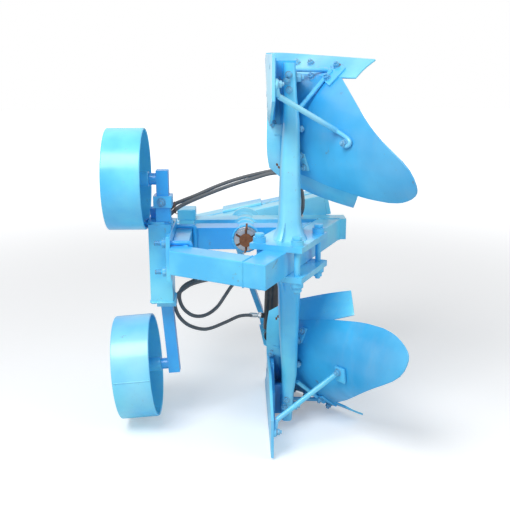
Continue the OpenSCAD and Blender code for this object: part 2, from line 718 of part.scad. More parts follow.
// Wheel post
module post_sleeve() {
    color(blue) placed() difference() {
        union() {
            slab([sleeve_left, post_y - sleeve_half_y, sleeve_foot], [sleeve_right, post_y + sleeve_half_y, sleeve_top]);
            slab([-391, far_arm_y - 33, sleeve_foot - 40], [-308, far_arm_y + 33, sleeve_foot + eps]);
            translate([0, 0, sleeve_top]) linear_extrude(12) intersection() {
                hull() for (s = [-1, 1]) translate([-372, post_y + 8 * s]) circle(d = 119);
                translate([-411, post_y - 80]) square([120, 160]);
            }
        }
        slab([sleeve_left + sleeve_wall, post_y - sleeve_half_y + sleeve_wall, sleeve_foot + 8],
            [sleeve_right - sleeve_wall, post_y + sleeve_half_y - sleeve_wall, sleeve_top + eps]);
        translate([upper_arm_x, near_arm_y, 0]) cube([arm_s + 1, arm_s + 1, 400], center = true);
        lower_arm_axis() translate([-arm_s / 2 - 0.5, -arm_s / 2 - 0.5, 0]) cube([arm_s + 1, arm_s + 1, 800]);
    }
}

module guide_tube() {
    s = arm_s + 2;
    color(deep_blue) placed() translate([upper_arm_x, near_arm_y, sleeve_top + 12]) difference() {
        translate([-30, -30, 0]) cube([60, 60, 60]);
        translate([-s / 2, -s / 2, -1]) cube([s, s, 62]);
    }
}

module clamp_ring() {
    s = arm_s + 2;
    z = sleeve_top + 72;
    color(blue) placed() translate([upper_arm_x, near_arm_y, z]) {
        difference() {
            translate([-38, -38, 0]) cube([76, 76, 49]);
            translate([-s / 2, -s / 2, -1]) cube([s, s, 51]);
            translate([-4, -39, 24]) rotate([-90, 0, 0]) cylinder(h = 14, d = 16, $fn = 24);
        }
        translate([-4, -48, 24]) rotate([-90, 0, 0]) {
            cylinder(h = 22.7, d = 15.9, $fn = 24);
            hex_head(24, 10);
        }
    }
}

u_rod = 20;
u_z = half + u_rod / 2 + 1;
u_y = [-300, 16];
module saddle_plate() {
    thin = [-315, -side_beam_x];
    color(blue) placed() difference() {
        union() {
            slab([thin[0], u_y[0] - 35, -93], [thin[1], u_y[1] + 35, 93]);
            for (y = u_y) slab([-328, y - 35, -93], [thin[0] + eps, y + 35, 93]);
        }
        for (y = u_y, s = [-1, 1]) translate([-340, y, s * u_z]) rotate([0, 90, 0])
            cylinder(h = 60, d = u_rod + 1, $fn = 24);
    }
}

module u_bolts() {
    bend_x = -228;
    tip = -376;
    r = 14;
    color(deep_blue) placed() for (y = u_y) translate([0, y, 0]) {
        for (s = [-1, 1]) {
            translate([tip, 0, s * u_z]) rotate([0, 90, 0]) cylinder(h = bend_x - r - tip, d = u_rod, $fn = 24);
            translate([-328 - 18, 0, s * u_z]) rotate([0, 90, 0]) hex_head(32, 18);
            translate([bend_x - r, 0, s * (u_z - r)]) rotate([90, 0, 0]) rotate([0, 0, s > 0 ? 0 : -90])
                rotate_extrude(angle = 90, $fn = 48) translate([r, 0]) circle(d = u_rod, $fn = 24);
        }
        translate([bend_x, 0, -(u_z - r)]) cylinder(h = 2 * (u_z - r), d = u_rod, $fn = 24);
    }
}

// Wheel arms
module lower_arm_axis() {
    translate(lower_pivot) rotate([0, -arm_lean, 0]) children();
}

module arm_bar(up, down) {
    translate([-arm_s / 2, -arm_s / 2, -down]) cube([arm_s, arm_s, up + down]);
}

module axle(reach) {
    rotate([0, -90, 0]) {
        cylinder(h = reach, d = axle_d - 0.1);
        cylinder(h = boss, d = axle_d + 14);
        translate([0, 0, reach - 10]) cylinder(h = 10, d = axle_d + 12);
    }
}

boss = arm_s / 2 + 30;
upper_hub = -upper_rim_x + upper_arm_x;
module upper_arm() {
    color(deep_blue) placed() translate([upper_arm_x, near_arm_y, upper_axle_z]) {
        arm_bar(arm_end, 417);
        axle(upper_hub + upper_w - 5);
    }
}

module lower_arm() {
    color(blue) placed() lower_arm_axis() {
        arm_bar(713, arm_end);
        axle(lower_rim_gap + lower_w - 5);
    }
}

// Steel drum wheel along -X from its inner rim: rim, disc near the outer side, and hub
module wheel(r, w, gap) {
    disc_x = w - 34;
    hub_r = axle_d / 2 + 14;
    rotate([0, -90, 0]) rotate_extrude($fn = 96) polygon([
        [axle_d / 2, boss - gap + 1], [hub_r, boss - gap + 1], [hub_r, disc_x],
        [r - rim_t, disc_x], [r - rim_t, 0], [r, 0], [r, w], [r - rim_t, w], [r - rim_t, disc_x + 8],
        [hub_r, disc_x + 8], [hub_r, w - 16], [axle_d / 2, w - 16]]);
}

module upper_wheel() {
    color(blue) placed() translate([upper_rim_x, near_arm_y, upper_axle_z]) wheel(upper_r, upper_w, upper_hub);
}

module lower_wheel() {
    color(blue) placed() lower_arm_axis() translate([-lower_rim_gap, 0, 0]) wheel(lower_r, lower_w, lower_rim_gap);
}

// The box on the left front corner where the frame meets its stop
module stop_box() {
    color(blue) placed() slab([-320, front_cross_y - 7, half], [-236, front_cross_end - 7, half + 50]);
}

// Hoses: routes chosen by hand, with the tube swept along them
function at_cylinder(x, z) = [crank_r + x * cos(cyl_tilt) - z * sin(cyl_tilt), cyl_y,
    x * sin(cyl_tilt) + z * cos(cyl_tilt)];
function from_port(z) = [at_cylinder(-port_reach - 0.9, z), at_cylinder(-port_reach - 41, z)];
hose_lower_path = [each from_port(ports[1]), [-30, 328, -472], [-100, 275, -485], [-170, 185, -483],
    [-216, 118, -463], [-271, 48, -417], [-308, -5, -357], [-323, -42, -289], [-309, -62, -235],
    [-259, -70, -191], [-220, -70, -175], [-178, -62, -167], [-128, -42, -161], [-96, -4, -156],
    [-96, 44, -151], [-132, 78, -146], [-188, 76, -138], [-245, 20, -130], [-300, -42, -122], [-350, -68, -104],
    [-380, -70, -50], [-382, -68, 10], [-370, -66, 62], [-346, -58, 112], [-312, -45, 145], [-278, -14, 164],
    [-223, 26, 183], [-139, 68, 210], [-53, 104, 235], [30, 128, 256], [122, 145, 278], [184, 150, 272],
    [224, 146, 230], [238, 142, 168], [236, 148, 112], [229, 172, 78], [223, 204, 64], [222, 240, 62.5]];
hose_upper_path = [each from_port(ports[0]), [12, 330, -256], [-30, 288, -262], [-69, 236, -286],
    [-100, 190, -319], [-136, 140, -358], [-177, 92, -377], [-217, 48, -375], [-255, 14, -355],
    [-288, -10, -315], [-303, -25, -265], [-296, -32, -224], [-271, -36, -195], [-232, -36, -174],
    [-180, -28, -134], [-130, -8, -112], [-104, 30, -105], [-120, 76, -101], [-172, 96, -100], [-228, 62, -104],
    [-275, 6, -114], [-325, -32, -114], [-364, -44, -84], [-380, -42, -30], [-376, -38, 20], [-366, -36, 72],
    [-346, -26, 128], [-315, -12, 165], [-280, 20, 177], [-225, 62, 192], [-140, 105, 223], [-53, 140, 249],
    [45, 165, 271], [142, 180, 286], [208, 186, 274], [250, 182, 228], [266, 176, 168], [268, 170, 122],
    [265, 180, 94], [259, 202, 74], [255, 226, 65], [254, 250, 62.5]];

// A tube swept along a smooth curve through the route
module hose(path, rings) {
    sides = 8;
    pts = [for (k = [0 : rings]) curve(path, k / rings)];
    function dir(k) = let (d = pick(pts, k + 1) - pick(pts, k - 1)) d / norm(d);
    up = [0.3, 0.2, 0.93];
    ring = [for (k = [0 : rings]) let (t = dir(k), a = cross(t, up), n = a / norm(a), b = cross(n, t))
        each [for (s = [0 : sides - 1]) pts[k] + hose_d / 2 * (cos(360 * s / sides) * n + sin(360 * s / sides) * b)]];
    faces = concat([[for (s = [0 : sides - 1]) s]],
        [for (k = [0 : rings - 1], s = [0 : sides - 1]) let (q = (s + 1) % sides)
            each [[k * sides + s, (k + 1) * sides + s, (k + 1) * sides + q],
                [k * sides + s, (k + 1) * sides + q, k * sides + q]]],
        [[for (s = [0 : sides - 1]) rings * sides + sides - 1 - s]]);
    polyhedron(points = ring, faces = faces);
}
module hose_lower() { color(black) placed() hose(hose_lower_path, 76); }
module hose_upper() { color(black) placed() hose(hose_upper_path, 76); }

module hose_couplings() {
    color(steel) placed() for (p = [hose_lower_path, hose_upper_path])
        translate(p[len(p) - 1] + [0, seat, 0]) rotate([-90, 0, 0]) cylinder(h = 52, d = 24, $fn = 24);
}

head_rear_beam();
head_front_beam();
link_plate_left();
link_plate_right();
lower_link_pin_left();
lower_link_pin_right();
top_plate();
mast_bar_left();
mast_bar_right();
cylinder_bracket();
turnover_shaft();
castle_nut();
split_pin();
thrust_washer();
cross_beam_front();
cross_beam_rear();
hub_sleeve();
bush_front();
bush_rear();
main_beam();
rear_beam();
side_beam();
stop_box();
turnover_crank();
leg_upper();
leg_lower();
foot_bolts();
frog_upper();
frog_lower();
mouldboard_upper();
mouldboard_lower();
shin_upper();
shin_lower();
share_upper();
share_lower();
landside_upper();
landside_lower();
trash_board_upper();
trash_board_lower();
brace_upper();
brace_lower();
stay_upper();
stay_lower();
post_sleeve();
guide_tube();
clamp_ring();
saddle_plate();
u_bolts();
upper_arm();
lower_arm();
upper_wheel();
lower_wheel();
cylinder_rod();
cylinder_barrel();
base_pin();
hose_lower();
hose_upper();
hose_couplings();
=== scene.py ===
"""Reversible plough: its finishes and small fittings, around its solid model.

The solids carry the shape of the plough: the square tube frame, the rolled hitch with its mast and turnover
cylinder, the two mirrored bodies and the steel gauge wheels. This script rounds their edges, paints them as
worn enamel, rust, machined steel and rubber, and adds what a workshop adds last: nuts, bolts, weld beads,
hose fittings and ties. Lengths are in metres. Places are in millimetres about the turnover axis, as in the
plough's own drawing.
"""

import json
import logging
import math
from dataclasses import dataclass, field
from enum import Enum
from typing import Callable, Iterable, Sequence

import bpy
from mathutils import Matrix, Vector

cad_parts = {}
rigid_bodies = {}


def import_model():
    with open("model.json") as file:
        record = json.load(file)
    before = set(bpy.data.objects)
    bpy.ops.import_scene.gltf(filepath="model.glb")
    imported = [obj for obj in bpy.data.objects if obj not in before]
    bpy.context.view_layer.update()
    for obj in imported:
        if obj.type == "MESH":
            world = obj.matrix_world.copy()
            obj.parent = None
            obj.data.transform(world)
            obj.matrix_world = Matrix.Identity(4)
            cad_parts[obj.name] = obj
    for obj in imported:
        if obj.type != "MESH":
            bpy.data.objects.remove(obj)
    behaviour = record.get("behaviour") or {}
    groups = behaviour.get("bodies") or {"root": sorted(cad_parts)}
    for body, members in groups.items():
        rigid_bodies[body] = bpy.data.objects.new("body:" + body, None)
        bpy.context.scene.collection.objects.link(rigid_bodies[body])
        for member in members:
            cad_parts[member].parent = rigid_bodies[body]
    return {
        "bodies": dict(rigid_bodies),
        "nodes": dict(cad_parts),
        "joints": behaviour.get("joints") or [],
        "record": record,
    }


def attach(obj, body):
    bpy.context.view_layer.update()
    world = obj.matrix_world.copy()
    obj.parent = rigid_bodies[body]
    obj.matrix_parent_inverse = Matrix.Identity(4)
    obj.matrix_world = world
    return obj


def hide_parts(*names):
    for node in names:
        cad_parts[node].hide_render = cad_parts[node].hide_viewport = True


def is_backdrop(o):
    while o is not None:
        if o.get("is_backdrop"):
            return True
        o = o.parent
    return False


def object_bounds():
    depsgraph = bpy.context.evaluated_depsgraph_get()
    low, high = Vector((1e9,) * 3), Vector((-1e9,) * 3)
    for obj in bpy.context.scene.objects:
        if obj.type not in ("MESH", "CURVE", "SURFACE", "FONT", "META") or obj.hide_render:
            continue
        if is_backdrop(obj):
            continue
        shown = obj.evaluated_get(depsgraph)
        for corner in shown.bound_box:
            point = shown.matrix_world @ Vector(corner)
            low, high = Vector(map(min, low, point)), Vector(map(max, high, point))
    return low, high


log = logging.getLogger("plough")

MM = 0.001
TURNOVER_AXIS = Vector((0.011341, -0.540, -0.053818))
RIGHT = Vector((1.0, 0.0, 0.0))
AHEAD = Vector((0.0, 1.0, 0.0))
UP = Vector((0.0, 0.0, 1.0))
DOWN = Vector((0.0, 0.0, -1.0))
OWN_FINISH = {
    "turnover_shaft": "shaft_end",
    # The mouldboards wear a darker copy of the blue enamel: painted shade.
    "mouldboard_upper": "shaded_board_paint",
    "mouldboard_lower": "shaded_board_paint",
}

Point = tuple[float, float, float]
Pairs = tuple[tuple[float, float], ...]
Seat = tuple[Vector, Vector]

# Lathe profiles of the small turned parts, as radius and height in metres
PORT_NUT: Pairs = (
    (0.0, 0.0), (0.0125, 0.0), (0.0155, 0.0015), (0.0155, 0.016), (0.0125, 0.018), (0.0, 0.018))
PORT_FERRULE: Pairs = (
    (0.0, 0.018), (0.010, 0.018), (0.010, 0.022), (0.012, 0.023), (0.012, 0.032), (0.0112, 0.033),
    (0.012, 0.034), (0.012, 0.043), (0.0112, 0.044), (0.012, 0.045), (0.012, 0.058), (0.0095, 0.062),
    (0.0, 0.062))
COUPLING_BODY: Pairs = (
    (0.0, 0.0), (0.0095, 0.0), (0.0115, 0.002), (0.0115, 0.013), (0.0095, 0.015), (0.0, 0.015))
SLEEVE_GROOVES = tuple((0.0122 - 0.0009 * (k % 2), 0.016 + 0.0016 * k) for k in range(12))
COUPLING_SLEEVE: Pairs = (
    (0.0, 0.015), (0.0105, 0.015), *SLEEVE_GROOVES, (0.0105, 0.0365), (0.0, 0.0365))
COUPLING_CRIMP: Pairs = (
    (0.0, 0.001), (0.0115, 0.001), (0.0115, 0.010), (0.0106, 0.011), (0.0115, 0.012), (0.0115, 0.022),
    (0.0092, 0.026), (0.0, 0.026))
DUST_CAP: Pairs = (
    (0.0, 0.037), (0.0118, 0.037), (0.0122, 0.0385), (0.0122, 0.049), (0.0108, 0.0515), (0.0, 0.052))
SHIN_BOLT_END: Pairs = ((0.0, 0.0), (0.0065, 0.0), (0.0055, 0.0012), (0.0, 0.0012))
LANDSIDE_HEAD: Pairs = (
    (0.0, -0.001), (0.0125, -0.001), (0.0125, 0.0006), (0.0115, 0.0012), (0.0, 0.0012))
BRACE_LUG: Pairs = (
    (0.0, 0.0), (0.019, 0.0), (0.020, 0.001), (0.020, 0.008), (0.019, 0.009), (0.0, 0.009))
HUB_FLANGE: Pairs = (
    (0.033, 0.0), (0.074, 0.0), (0.076, 0.002), (0.076, 0.006), (0.074, 0.008), (0.043, 0.008),
    (0.036, 0.016), (0.033, 0.016))
CLAMP_SHANK: Pairs = (
    (0.0, 0.0), (0.0115, 0.0), (0.012, 0.001), (0.012, 0.187), (0.0115, 0.188), (0.0, 0.188))
THREAD_RIDGES = tuple((0.0104 - 0.0012 * (k % 2), 0.0014 + 0.0011 * k) for k in range(22))
U_BOLT_THREAD: Pairs = ((0.0, 0.0), (0.0088, 0.0), *THREAD_RIDGES, (0.0, 0.0255))


def at(x: float, y: float, z: float) -> Vector:
    """Place a point given in millimetres about the turnover axis."""
    return TURNOVER_AXIS + Vector((x, y, z)) * MM


class Side(Enum):
    """The two bodies, as the sign of their height about the frame."""

    UPPER = 1
    LOWER = -1

    @property
    def stem(self) -> str:
        """Give the word that starts the names of this side's pieces."""
        return self.name.lower()


class Socket:
    """An output of a shader node that takes part in plain arithmetic."""

    def __init__(self, tree: "Shader", output: bpy.types.NodeSocket) -> None:
        """Wrap one output of a node."""
        self.tree = tree
        self.output = output

    def _sum(self, operation: str, *values: "Socket | float") -> "Socket":
        """Add one Math node on the given values."""
        return self.tree.node("ShaderNodeMath", {"operation": operation}, dict(enumerate(values)))

    def __add__(self, other: "Socket | float") -> "Socket":
        """Add two values."""
        return self._sum("ADD", self, other)

    __radd__ = __add__

    def __sub__(self, other: "Socket | float") -> "Socket":
        """Take a value away from this one."""
        return self._sum("SUBTRACT", self, other)

    def __rsub__(self, other: float) -> "Socket":
        """Take this value away from a number."""
        return self._sum("SUBTRACT", other, self)

    def __mul__(self, other: "Socket | float") -> "Socket":
        """Multiply two values."""
        return self._sum("MULTIPLY", self, other)

    __rmul__ = __mul__

    def clamp(self) -> "Socket":
        """Keep this value between 0 and 1."""
        return self.tree.node("ShaderNodeClamp", {}, {"Value": self})

    def sine(self) -> "Socket":
        """Take the sine of this value."""
        return self._sum("SINE", self)

    def step(self, low: float, high: float) -> "Socket":
        """Rise smoothly from 0 to 1 between two levels.

        Args:
            low: The level that gives 0.
            high: The level that gives 1.

        Returns:
            The eased value.
        """
        settings = {"interpolation_type": "SMOOTHSTEP"}
        values = {"Value": self, "From Min": low, "From Max": high}
        return self.tree.node("ShaderNodeMapRange", settings, values)


class Shader:
    """One node material with a principled surface."""

    def __init__(self, name: str) -> None:
        """Start an empty material.

        Args:
            name: The name of the material.
        """
        self.material = bpy.data.materials.new(name)
        self.material.use_nodes = True
        self.tree = self.material.node_tree
        self.tree.nodes.clear()
        self.surface = self.tree.nodes.new("ShaderNodeBsdfPrincipled")
        out = self.tree.nodes.new("ShaderNodeOutputMaterial")
        self.tree.links.new(self.surface.outputs[0], out.inputs["Surface"])

    def node(self, kind: str, settings: dict, values: dict, output: int | str = 0) -> Socket:
        """Add a node.

        Args:
            kind: The type of the node.
            settings: Its own settings.
            values: What its sockets hold or are linked to, by name or number.
            output: Which output to give back.

        Returns:
            That output.
        """
        new = self.tree.nodes.new(kind)
        for key, value in settings.items():
            setattr(new, key, value)
        for key, value in values.items():
            self.link(value, new.inputs[key])
        return Socket(self, new.outputs[output])

    def link(self, value: "Socket | float | Sequence[float]", target: bpy.types.NodeSocket) -> None:
        """Set a socket, or link it where the value is an output."""
        if isinstance(value, Socket):
            self.tree.links.new(value.output, target)
        else:
            target.default_value = value

    def place(self) -> Socket:
        """Read the object coordinates."""
        return self.node("ShaderNodeTexCoord", {}, {}, "Object")

    def noise(self, scale: float, detail: float = 3.0, roughness: float = 0.5,
              stretch: Point = (1, 1, 1)) -> Socket:
        """Add soft noise over the object's own coordinates.

        Args:
            scale: Repeats in a metre.
            detail: How many finer layers it has.
            roughness: How strong the finer layers are.
            stretch: How the coordinates are scaled before.

        Returns:
            The noise, about 0.5 on average.
        """
        place = self.place()
        if stretch != (1, 1, 1):
            place = self.node("ShaderNodeMapping", {}, {"Vector": place, "Scale": stretch})
        values = {"Vector": place, "Scale": scale, "Detail": detail, "Roughness": roughness}
        return self.node("ShaderNodeTexNoise", {}, values)

    def mix(self, mask: "Socket | float", first: "Socket | Sequence[float]",
            second: "Socket | Sequence[float]") -> Socket:
        """Mix two colours.

        Args:
            mask: How much of the second shows.
            first: The colour at 0.
            second: The colour at 1.

        Returns:
            The mixed colour.
        """
        pair = [c if isinstance(c, Socket) else (*c, 1.0) for c in (first, second)]
        return self.node("ShaderNodeMix", {"data_type": "RGBA"}, {0: mask, 6: pair[0], 7: pair[1]}, 2)

    def worn_edge(self, radius: float) -> Socket:
        """Find convex edges by comparing the true normal with a rounded one.

        Args:
            radius: How far from the edge it reaches.

        Returns:
            0 on flat metal, rising to 1 at an edge.
        """
        soft = self.node("ShaderNodeBevel", {"samples": 4}, {"Radius": radius})
        true = self.node("ShaderNodeNewGeometry", {}, {}, "Normal")
        settings = {"operation": "DOT_PRODUCT"}
        dot = self.node("ShaderNodeVectorMath", settings, {0: soft, 1: true}, "Value")
        return (1.0 - dot).step(low=0.01, high=0.22)

    def bump(self, height: Socket, strength: float, distance: float) -> Socket:
        """Turn a height into a normal."""
        values = {"Height": height, "Strength": strength, "Distance": distance}
        return self.node("ShaderNodeBump", {}, values)

    def set(self, **values: "Socket | float | Sequence[float]") -> None:
        """Set the sockets of the surface, named with underscores for spaces."""
        for key, value in values.items():
            if isinstance(value, tuple) and len(value) == 3:
                value = (*value, 1.0)
            self.link(value, self.surface.inputs[key.replace("_", " ")])


@dataclass(frozen=True)
class Enamel:
    """Light blue enamel over steel, with lit and shaded blues and pale highlights painted in patches, and
    worn to rust along its edges.
    """

    name: str
    # lit and shaded: painted light and shade, two blues mixed in random patches
    lit: Point
    shaded: Point
    rust: float = 0.5
    grime: float = 0.35
    # fade and chalk: how much pale painted highlight is mixed in, and its colour
    fade: float = 0.5
    chalk: Point = (0.52, 0.90, 1.0)
    dirt: Point = (0.55, 0.63, 0.66)
    rust_dark: Point = (0.10, 0.035, 0.015)
    rust_light: Point = (0.34, 0.13, 0.05)
    rusty_behind: float | None = None

    def make(self) -> bpy.types.Material:
        """Build the material."""
        s = Shader(self.name)
        patches = s.noise(2.6, 4.0, 0.55)
        breakup = s.noise(34.0, 5.0, 0.65)
        worn = self._wear(s, breakup)
        rust = s.mix(s.noise(120.0, 4.0), self.rust_dark, self.rust_light)
        height = s.noise(240.0, 2.0) * 0.25 + breakup * 0.3 - worn * 1.2
        s.set(Base_Color=s.mix(worn, self._coat(s, patches), rust),
              Roughness=0.27 + patches * 0.12 + worn * 0.4,
              Coat_Weight=(1.0 - worn) * 0.35, Coat_Roughness=0.16,
              Normal=s.bump(height, 0.22, 0.0012), Specular_IOR_Level=0.5)
        return s.material

    def _coat(self, s: Shader, patches: Socket) -> Socket:
        """Give the colour of the paint: a lit and a shaded blue in patches as painted light and shade, pale
        patches of painted highlight and dirty drips.

        Args:
            s: The material.
            patches: The noise that parts the lit and the shaded blue, the painted light and shade.

        Returns:
            The colour.
        """
        # Painted light and shade: the lit and the shaded blue, mixed in random patches.
        colour = s.mix(patches.step(0.36, 0.66), self.shaded, self.lit)
        # Painted highlights: pale patches mixed over the paint where light glints.
        highlight_patches = s.noise(1.9, 3.0, 0.5, (1.0, 1.3, 0.8)).step(0.47, 0.70)
        colour = s.mix(highlight_patches * self.fade, colour, self.chalk)
        drips = s.noise(9.0, 5.0, 0.6, (1.0, 1.0, 0.22)).step(0.52, 0.82)
        return s.mix(drips * (0.35 * self.grime), colour, self.dirt)

    def _wear(self, s: Shader, breakup: Socket) -> Socket:
        """Tell where the paint is worn to rust: along edges, in blotches, in specks and on a bare end.

        Args:
            s: The material.
            breakup: The noise that breaks the edges up.

        Returns:
            0 on sound paint and 1 on rust.
        """
        specks = s.noise(70.0, 6.0, 0.7).step(0.61, 0.70)
        edge = (s.worn_edge(0.004) * breakup.step(0.40, 0.62)).clamp()
        blotch = s.noise(11.0, 6.0, 0.68).step(0.635, 0.70) * breakup.step(0.42, 0.6)
        worn = ((edge * 0.85 + blotch + specks * 0.35) * self.rust).clamp()
        if self.rusty_behind is None:
            return worn
        depth = s.node("ShaderNodeSeparateXYZ", {}, {0: s.place()}, "Y")
        return (worn + 1.0 - depth.step(self.rusty_behind - 0.002, self.rusty_behind)).clamp()


@dataclass(frozen=True)
class BareMetal:
    """Machined or drawn steel, with fine tool lines, oil stains and some rust in the hollows."""

    name: str
    colour: Point
    stain: Point = (0.24, 0.15, 0.10)
    stained: float = 0.35
    roughness: float = 0.34

    def make(self) -> bpy.types.Material:
        """Build the material."""
        s = Shader(self.name)
        lines = s.noise(60.0, 2.0, 0.5, (1.0, 14.0, 1.0))
        cloud = s.noise(28.0, 5.0, 0.62)
        mask = (cloud.step(0.5, 0.72) * self.stained).clamp()
        darker = tuple(c * 0.72 for c in self.colour)
        colour = s.mix(lines.step(0.3, 0.7) * 0.3, self.colour, darker)
        colour = s.mix(mask, colour, self.stain)
        s.set(Base_Color=colour, Metallic=0.9 - mask * 0.6,
              Roughness=self.roughness + mask * 0.35 + lines * 0.08,
              Normal=s.bump(lines * 0.5 + cloud * 0.5, 0.15, 0.0006))
        return s.material


@dataclass(frozen=True)
class Rust:
    """Old rust, flaking from brown to orange."""

    name: str
    dark: Point = (0.09, 0.035, 0.02)
    light: Point = (0.36, 0.16, 0.075)

    def make(self) -> bpy.types.Material:
        """Build the material."""
        s = Shader(self.name)
        flakes = s.noise(150.0, 6.0, 0.7)
        cloud = s.noise(34.0, 4.0)
        colour = s.mix((flakes * 0.6 + cloud * 0.55).step(0.35, 0.8), self.dark, self.light)
        s.set(Base_Color=colour, Metallic=0.15, Roughness=0.62 + flakes * 0.3,
              Normal=s.bump(flakes, 0.6, 0.0012))
        return s.material


@dataclass(frozen=True)
class BlackPaint:
    """Black enamel with dust and small chips."""

    name: str
    colour: Point = (0.018, 0.019, 0.022)

    def make(self) -> bpy.types.Material:
        """Build the material."""
        s = Shader(self.name)
        dust = s.noise(14.0, 5.0, 0.6).step(0.45, 0.8)
        chips = (s.worn_edge(0.002) * s.noise(80.0, 4.0).step(0.5, 0.6)).clamp()
        colour = s.mix(dust * 0.22, self.colour, (0.20, 0.19, 0.17))
        colour = s.mix(chips, colour, (0.22, 0.15, 0.11))
        s.set(Base_Color=colour, Roughness=0.3 + dust * 0.25 + chips * 0.2, Coat_Weight=0.25,
              Normal=s.bump(s.noise(260.0, 2.0), 0.12, 0.0006))
        return s.material


@dataclass(frozen=True)
class HoseRubber:
    """Hose cover with the marks of its cloth wrap, dusty on top of the ridges."""

    name: str
    colour: Point = (0.14, 0.143, 0.148)
    turns: float = 240.0
    around: float = 10.0

    def make(self) -> bpy.types.Material:
        """Build the material, whose pattern follows the hose by its UV map."""
        s = Shader(self.name)
        uv = s.node("ShaderNodeUVMap", {"uv_map": "UVMap"}, {})
        apart = "ShaderNodeSeparateXYZ"
        along = s.node(apart, {}, {0: uv}, "X")
        turn = s.node(apart, {}, {0: uv}, "Y")
        cord_a = (along * self.turns * math.tau + turn * self.around * math.tau).sine()
        cord_b = (along * self.turns * math.tau - turn * self.around * math.tau).sine()
        weave = cord_a * cord_b * 0.5 + 0.5
        dust = s.noise(22.0, 4.0).step(0.4, 0.75)
        colour = s.mix(weave * dust * 0.4, self.colour, (0.27, 0.265, 0.26))
        s.set(Base_Color=colour, Roughness=0.55 + dust * 0.2, Normal=s.bump(weave, 0.5, 0.0008))
        return s.material


@dataclass
class Paints:
    """Every finish of the plough, made once, under the record's slot names."""

    made: dict[str, bpy.types.Material] = field(default_factory=dict)
    record_slots: dict[str, str] = field(
        default_factory=lambda: {"zinc": "bright_steel", "nut_paint": "blue_paint"})

    def mix_all(self) -> None:
        """Make each finish."""
        # The lit and the shaded blue of each enamel are painted light and shade.
        light, shade = (0.18, 0.76, 1.0), (0.08, 0.54, 0.95)
        finishes = {
            "blue_paint": Enamel("light_blue_enamel", light, shade),
            "deep_blue_paint": Enamel("deep_blue_enamel", (0.05, 0.55, 1.0), (0.03, 0.42, 0.92),
                                      rust=0.7, fade=0.12),
            # A darker copy of the light blue enamel for the mouldboards: painted shade.
            "shaded_board_paint": Enamel("board_enamel", (0.06, 0.53, 0.92), (0.03, 0.38, 0.75), fade=0.15),
            "nut_paint": Enamel("painted_nuts", (0.20, 0.60, 0.84), (0.10, 0.42, 0.72), rust=1.2, fade=0.3),
            "shaft_end": Enamel("shaft_with_rusty_thread", light, shade,
                                rusty_behind=TURNOVER_AXIS.y + 0.028),
            "bright_steel": BareMetal("machined_steel", (0.60, 0.61, 0.62)),
            "zinc": BareMetal("zinc_plating", (0.66, 0.67, 0.66), stained=0.25, roughness=0.3),
            "bronze": BareMetal("bush_bronze", (0.62, 0.42, 0.16)),
            "rusty_steel": Rust("old_rust"),
            "black_paint": BlackPaint("cylinder_black"),
            "hose_rubber": HoseRubber("hose_cover"),
        }
        self.made = {slot: finish.make() for slot, finish in finishes.items()}

    def wear(self, piece: bpy.types.Object, slot: str) -> None:
        """Give a piece one finish.

        Args:
            piece: The piece.
            slot: The record's slot, which also names the finish.
        """
        piece.data.materials.clear()
        piece.data.materials.append(self.made[slot])


def deselect() -> None:
    """Leave nothing selected."""
    for piece in bpy.context.selected_objects:
        piece.select_set(False)


def put_in_scene(name: str, data: bpy.types.ID) -> bpy.types.Object:
    """Make an object of its data and link it to the scene."""
    piece = bpy.data.objects.new(name, data)
    bpy.context.scene.collection.objects.link(piece)
    return piece


def hand_over(piece: bpy.types.Object, name: str, body: str, slot: str,
              paints: Paints) -> bpy.types.Object:
    """Name a finished piece, paint it and let it ride on its body.

    Args:
        piece: The finished piece, with its place in its mesh.
        name: Its name.
        body: The body that it moves with.
        slot: The slot of its finish.
        paints: The finishes.

    Returns:
        The piece.
    """
    piece.name = name
    piece.data.name = name
    paints.wear(piece, slot)
    paints.record_slots.get(slot, slot)
    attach(piece, body)
    log.info("%s rides on %s", name, body)
    return piece


